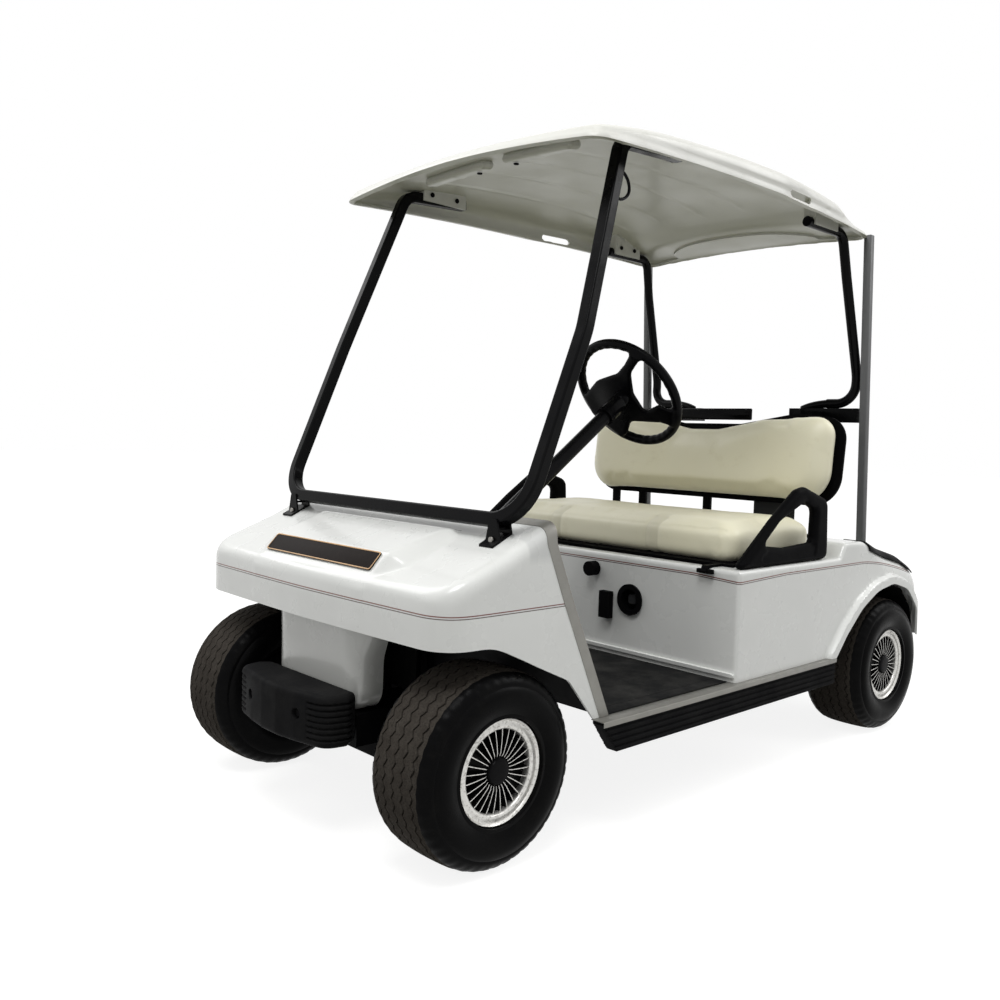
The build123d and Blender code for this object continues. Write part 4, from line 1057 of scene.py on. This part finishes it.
# ---- steering wheel
HUB = outline(
    [(-158, 2), (-80, 55), (6, 76), (46, 104), (84, 138), (110, 118), (56, 74), (34, 6), (50, -50)]
    + [(106, -28), (150, -50), (128, -100), (92, -88), (-16, -84), (-50, -128), (-78, -142), (-150, -62)],
    [0, 60, 40, 30, 0, 0, 40, 20, 12, 12, 0, 0, 10, 30, 10, 0, 0],
)
RIM_RADIUS, GRIP_NOTCHES = 161, 36
STEERING_AT, STEERING_LEAN = (230, -153, 1065), 36  # degrees that the column stands above level


def wheel_field(x, y, z):
    """Steering wheel with y up its face and z down the column."""
    around, radius = np.arctan2(y, x), np.hypot(x, y)
    grip = 13.4 + 0.5 * np.cos(GRIP_NOTCHES * around) * ease(RIM_RADIUS, 150, radius - 0.4 * z)
    rim = np.hypot(radius - RIM_RADIUS, z) - grip
    raised = 6 * ease(90, 10, np.hypot(x + 30, y))
    web = smax(np.maximum(HUB(x, y), radius - RIM_RADIUS + 1), np.abs(z - 16) - 6 - raised, 10)
    return smin(rim, web, 12)


def make_steering_wheel():
    wheel = skin(wheel_field, (-182, -182, -20), (182, 182, 40), 4.5, sharp=60)
    stub = disc(24, 34, set_at(0, 0, 15.5), 1)
    turn = set_at(*STEERING_AT, 90 + STEERING_LEAN)
    wheel.transform(turn)
    stub.transform(turn)
    body = "steering_wheel_body"
    add("steering_wheel_skin", wheel, "glossy", ["steering_wheel"], body)
    add("steering_stub", stub, "glossy", (), body)


# ---- canopy
ROOF_LINE = [  # (y, ridge height, drop from the ridge to the roof's sides)
    (-700, 1642, 23), (-600, 1672, 25), (-450, 1700, 27), (-200, 1728, 37), (58, 1740, 42), (300, 1732, 36),
    (440, 1716, 25), (510, 1697, 10), (590, 1664, 2), (660, 1653, 2), (820, 1645, 6),
]
ROOF_HALF = 528  # x at which the roof has dropped by that much
CANOPY_HALF = [(476, 771), (497, 420), (518, 160), (516, -625)]
CANOPY_PLAN = outline(
    [(-x, y) for x, y in CANOPY_HALF] + [(0, -655)] + CANOPY_HALF[::-1],
    [70, 600, 600, 48, 2400, 48, 600, 600, 70],
)
CANOPY_BOX = (-530, -680, 1600), (530, 795, 1750)
RIBS = (-330, -165, 0, 165, 330)
HOLD_Y, HOLD_Z, HOLD_HALF, HOLD_RADIUS = 262, 1650, 55, 10  # the hand-holds and their straight part
BLOCK_Y = -465
TUBE_BOLTS = ((437, (-368, -270), 1674), (412, (500, 575), 1646))  # x of the tube, ys and z of its bolts


def along(table, y, column=1):
    """Smooth curve through a column of a table against its first one."""
    ys = np.array([row[0] for row in table], float)
    zs = np.array([row[column] for row in table], float)
    slope = np.gradient(zs, ys)
    i = np.clip(np.searchsorted(ys, y) - 1, 0, len(ys) - 2)
    h = ys[i + 1] - ys[i]
    t = np.clip((y - ys[i]) / h, 0, 1)
    ends = zs[i] * (1 + 2 * t) * (1 - t) ** 2 + zs[i + 1] * t * t * (3 - 2 * t)
    return ends + h * (slope[i] * t * (1 - t) ** 2 - slope[i + 1] * t * t * (1 - t))


def roof_height(x, y):
    rib = sum(np.exp(-(((x - at) / 7) ** 2)) for at in RIBS) * ease(-520, -440, y) * ease(500, 440, y)
    return along(ROOF_LINE, y) - along(ROOF_LINE, y, 2) * (x / ROOF_HALF) ** 2 - 2.4 * rib - 0.5


def rim_edge(x, y):
    """Height of the rim's lower edge."""
    return 1660.4 - x * x / 10000 - (y - 58) ** 2 / 24000


def canopy_field(x, y, z):
    """Roof rolled down into its rim, with a groove round the rim and a dent at each hand-hold."""
    dent = 5 * np.exp(-(((y - HOLD_Y) / 95) ** 4) - ((z - HOLD_Z) / 26) ** 4) * ease(440, 480, np.abs(x))
    groove = 2.5 * np.exp(-(((z - rim_edge(x, y) - 17) / 7) ** 2))
    return smax(z - roof_height(x, y), CANOPY_PLAN(x, y) + 0.3, 42) + dent + groove


def canopy_open(x, y, z):
    """Positive under the rim's lower edge and in the two hand-holds."""
    reach = np.hypot(np.maximum(np.abs(y - HOLD_Y) - HOLD_HALF, 0), z - HOLD_Z)
    hold = np.maximum(reach - HOLD_RADIUS, 430 - np.abs(x))
    return np.maximum(rim_edge(x, y) - z, -hold)


def make_canopy():
    shell = skin(canopy_field, *CANOPY_BOX, 8, [canopy_open], 6)
    add("canopy_skin", shell, "canopy", ["canopy"])

    def off_bead(x, y, z):
        return np.maximum(z - rim_edge(x, y) - 11, canopy_open(x, y, z))

    bead = skin(grown(canopy_field, -1.2), *CANOPY_BOX, 8, [off_bead], 12)
    add("canopy_rim_bead", bead, "canopy")
    for side, word in SIDES:
        def block(x, y, z, side=side):
            roof = roof_height(x, y) - 6
            wedge = np.maximum(roof - 24 - z, z - roof - 3)
            return smax(smax(wedge, np.abs(side * x - 167) - 130, 14), np.abs(y - BLOCK_Y) - 24, 14)

        x_low, x_high = across(side, 30, 305)
        wedge = skin(block, (x_low, -495, 1650), (x_high, -435, 1712), 5)
        add(f"stiffening_block_{word}", wedge, "canopy")
        x = side * 75.0
        bolts = [(x, BLOCK_Y, float(roof_height(np.array(x), np.array(float(BLOCK_Y)))) - 33, 180, 0)]
        for tube, ys, height in TUBE_BOLTS:
            bolts += [(side * (tube - 22.5), y, height, 0, -90 * side) for y in ys]
        for k, place in enumerate(bolts):
            add(f"roof_bolt_{word}_{k}", disc(7.5, 4, set_at(*place)), "frame")


# ---- wheels
TYRE_SECTION = [  # (x from the tyre's middle, radius) over the tread and down the outer sidewall
    (0, 218), (20, 217.9), (40, 217.2), (60, 215.6), (74, 213), (83, 209), (90, 203), (97, 193), (103, 180),
    (106, 166), (106, 152), (103, 138), (97, 126), (90, 118), (84, 113.5), (80, 111), (76, 108),
]
TREAD_POINTS = 5  # of the section
TYRE_BORE = [(70, 104), (-70, 104)]
SIDE_RINGS = (193, 126)  # radii of the sidewall at which a moulded line starts
NOTCHED = (198, 212)  # radii between which the shoulder is notched
GROOVES = (-60, -30, 0, 30, 60)
GROOVE_EDGES = (-2.6, -1.7, 1.7, 2.6)
GROOVE_DEPTH, NOTCH_DEPTH = 6.5, 2.6
TREAD_LINES = {-74, -67, -45, -15, 15, 45, 67, 74}
TEETH = 46
SAW = (-4.2, -1.0, 4.2, 1.0)  # x that the tread swings to over the four steps of a tooth
COVER_TURNED = (  # (x, radius) profiles of the turned parts, their steps, sharp angle and finish
    ("ring", 96, 50, "silver", [
        (66, 108), (80, 116), (86, 116.6), (88.5, 114.5), (86, 111.5), (83.5, 110), (83, 106), (85.5, 101),
        (86, 96), (84, 92.5), (79, 91), (70, 90.5), (60, 92), (58, 100),
    ]),
    ("dish", 96, 40, "wheel_black", [
        (64, 95), (66, 60), (70, 36), (74, 30), (60, 20), (40, 10), (-70, 10), (-78, 100), (-72, 108),
        (60, 108),
    ]),
    ("cap", 64, 30, "wheel_black", [
        (70, 31), (82, 29.5), (85.5, 27), (86.8, 23), (87.2, 17), (87.6, 8), (87.7, 0.4), (70, 0.4),
    ]),
)
FIN_SIDE = [(32, 66), (32, 80), (40, 82.5), (62, 82.5), (84, 81), (92, 79), (93, 66)]  # radius and x
FINS = 28


def tyre_radius(x):
    xs, rs = zip(*TYRE_SECTION[:10])
    return float(np.interp(abs(x), xs, rs))


def make_tyre(name):
    """Tyre with zigzag grooves round the tread and notched shoulders."""
    tread = []  # (x, radius, share of the zigzag, whether notched)
    for x in sorted({g + d for g in GROOVES for d in GROOVE_EDGES} | TREAD_LINES):
        deep = any(abs(x - g) < 2 for g in GROOVES)
        radius = tyre_radius(x) - (GROOVE_DEPTH if deep else 0)
        tread.append((x, radius, 1.0 if abs(x) < 70 else 0.3, False))
    wall = []
    for x, r in TYRE_SECTION[TREAD_POINTS:]:
        wall.append((x, r, 0, NOTCHED[0] < r < NOTCHED[1]))
        if r in SIDE_RINGS:
            wall += [(x + 0.9, r - down, 0, False) for down in (4, 8)]
    section = [(-x, *rest) for x, *rest in wall[::-1]] + tread + wall
    section += [(x, r, 0, False) for x, r in TYRE_BORE]

    def twist(j, k):
        _, _, share, notched = section[j]
        tooth = k % len(SAW)
        return SAW[tooth] * share, -NOTCH_DEPTH if notched and tooth == 0 else 0

    profile = [(x, r) for x, r, *_ in section]
    points, faces = revolve(profile, TEETH * len(SAW), (*WHEEL_AT[name], AXLE_HEIGHT), twist)
    mesh = mesh_of(points, faces, 38)
    for face, polygon in zip(faces, mesh.polygons):
        on_tread = len(wall) <= face[0] % len(section) <= len(wall) + len(tread) - 2
        polygon.material_index = 0 if on_tread else 1
    add("tyre_skin_" + name, mesh, "tread sidewall", ["tyre_" + name], "wheel_" + name)


def make_wheel_cover(name):
    """Silver ring, thin radial fins over a black dish, and a plain black cap."""
    cx, cy = WHEEL_AT[name]
    out = 1 if cx > 0 else -1
    body = "wheel_" + name
    for part, turns, sharp, look, profile in COVER_TURNED:
        points, faces = revolve([(out * x, r) for x, r in profile], turns, (cx, cy, AXLE_HEIGHT))
        replaced = ["rim_" + name] if part == "ring" else []
        add(f"cover_{part}_{name}", mesh_of(points, faces, sharp), look, replaced, body)

    points, faces = [], []
    for k in range(FINS):
        angle = 2 * math.pi * (k + 0.5) / FINS
        c, s = math.cos(angle), math.sin(angle)
        base = len(points)
        for r, x in FIN_SIDE:
            half = (0.8 + 0.009 * r) * (0.65 if x > 70 else 1.0)
            for w in (-half, half):
                points.append((cx + out * x, cy + r * c - w * s, AXLE_HEIGHT + r * s + w * c))
        count = len(FIN_SIDE)
        faces += [(a, a + 1, a + 3, a + 2) for a in range(base, base + 2 * count - 2, 2)]
        faces.append(tuple(base + 2 * i for i in range(count)))
        faces.append(tuple(base + 2 * i + 1 for i in reversed(range(count))))
    mesh = mesh_of(points, faces, 30)
    for polygon in mesh.polygons:
        polygon.material_index = int(len(polygon.vertices) > 4)  # the fins' sides are black
    add("cover_fins_" + name, mesh, "silver wheel_black", (), body)


# ---- studio
LAMPS = (  # name, place, aim, size and power
    ("key", (1.3, -2.2, 5.0), (0, -0.3, 0.6), 2.2, 136),
    ("fill", (-3.4, -1.6, 3.8), (0, 0, 0.7), 2.6, 45),
    ("back", (2.6, 3.4, 4.0), (0, 0, 0.7), 2.6, 76),
)
FLOOR_HALF = 30
FLOOR_TONE, FLOOR_GLOW = (0.34, 0.34, 0.33), 0.86
WORLD_LIGHT, WORLD_SEEN = 0.45, 1.0


def seen_directly(tree, low, high):
    """Socket that is high for camera, glossy and transmission rays and low for the rest."""
    nodes, links = tree.nodes, tree.links
    path = nodes.new("ShaderNodeLightPath")
    seen = path.outputs["Is Camera Ray"]
    for ray in ("Is Glossy Ray", "Is Transmission Ray"):
        either = nodes.new("ShaderNodeMath")
        either.operation = "MAXIMUM"
        links.new(seen, either.inputs[0])
        links.new(path.outputs[ray], either.inputs[1])
        seen = either.outputs[0]
    strength = nodes.new("ShaderNodeMapRange")
    strength.inputs["To Min"].default_value = low
    strength.inputs["To Max"].default_value = high
    links.new(seen, strength.inputs["Value"])
    return strength.outputs[0]


def make_floor():
    mesh = bpy.data.meshes.new("floor")
    corners = box_points(-FLOOR_HALF, FLOOR_HALF, -FLOOR_HALF, FLOOR_HALF)
    mesh.from_pydata([(*corner, 0) for corner in corners], [], [(0, 1, 2, 3)])
    linked("floor", mesh)
    p = Paint("floor", FLOOR_TONE, 0.9, Specular_IOR_Level=0.1, Emission_Color=(1, 1, 1, 1))
    p.feed(seen_directly(p.tree, 0.0, FLOOR_GLOW), p.shader.inputs["Emission Strength"])
    mesh.materials.append(p.material)


def make_world():
    world = bpy.data.worlds.new("world")
    scene.world = world
    world.use_nodes = True
    tree = world.node_tree
    background = tree.nodes["Background"]
    tree.links.new(seen_directly(tree, WORLD_LIGHT, WORLD_SEEN), background.inputs["Strength"])
    background.inputs["Color"].default_value = (1, 1, 1, 1)


def make_lamps():
    for name, at, aim, size, power in LAMPS:
        data = bpy.data.lights.new(name, "AREA")
        data.size = size
        data.energy = power
        lamp = linked(name, data)
        lamp.location = at
        lamp.rotation_mode = "QUATERNION"
        lamp.rotation_quaternion = (Vector(aim) - Vector(at)).to_track_quat("-Z", "Y")


# ---- run
make_camera()
dress_nodes()
make_cowl()
make_name_plate()
make_body()
make_front_end()
make_pads()
make_armrests()
make_fittings()
make_steering_wheel()
make_canopy()
for wheel in WHEEL_AT:
    make_tyre(wheel)
    make_wheel_cover(wheel)
make_floor()
make_world()
make_lamps()
scene.view_settings.view_transform = "Standard"
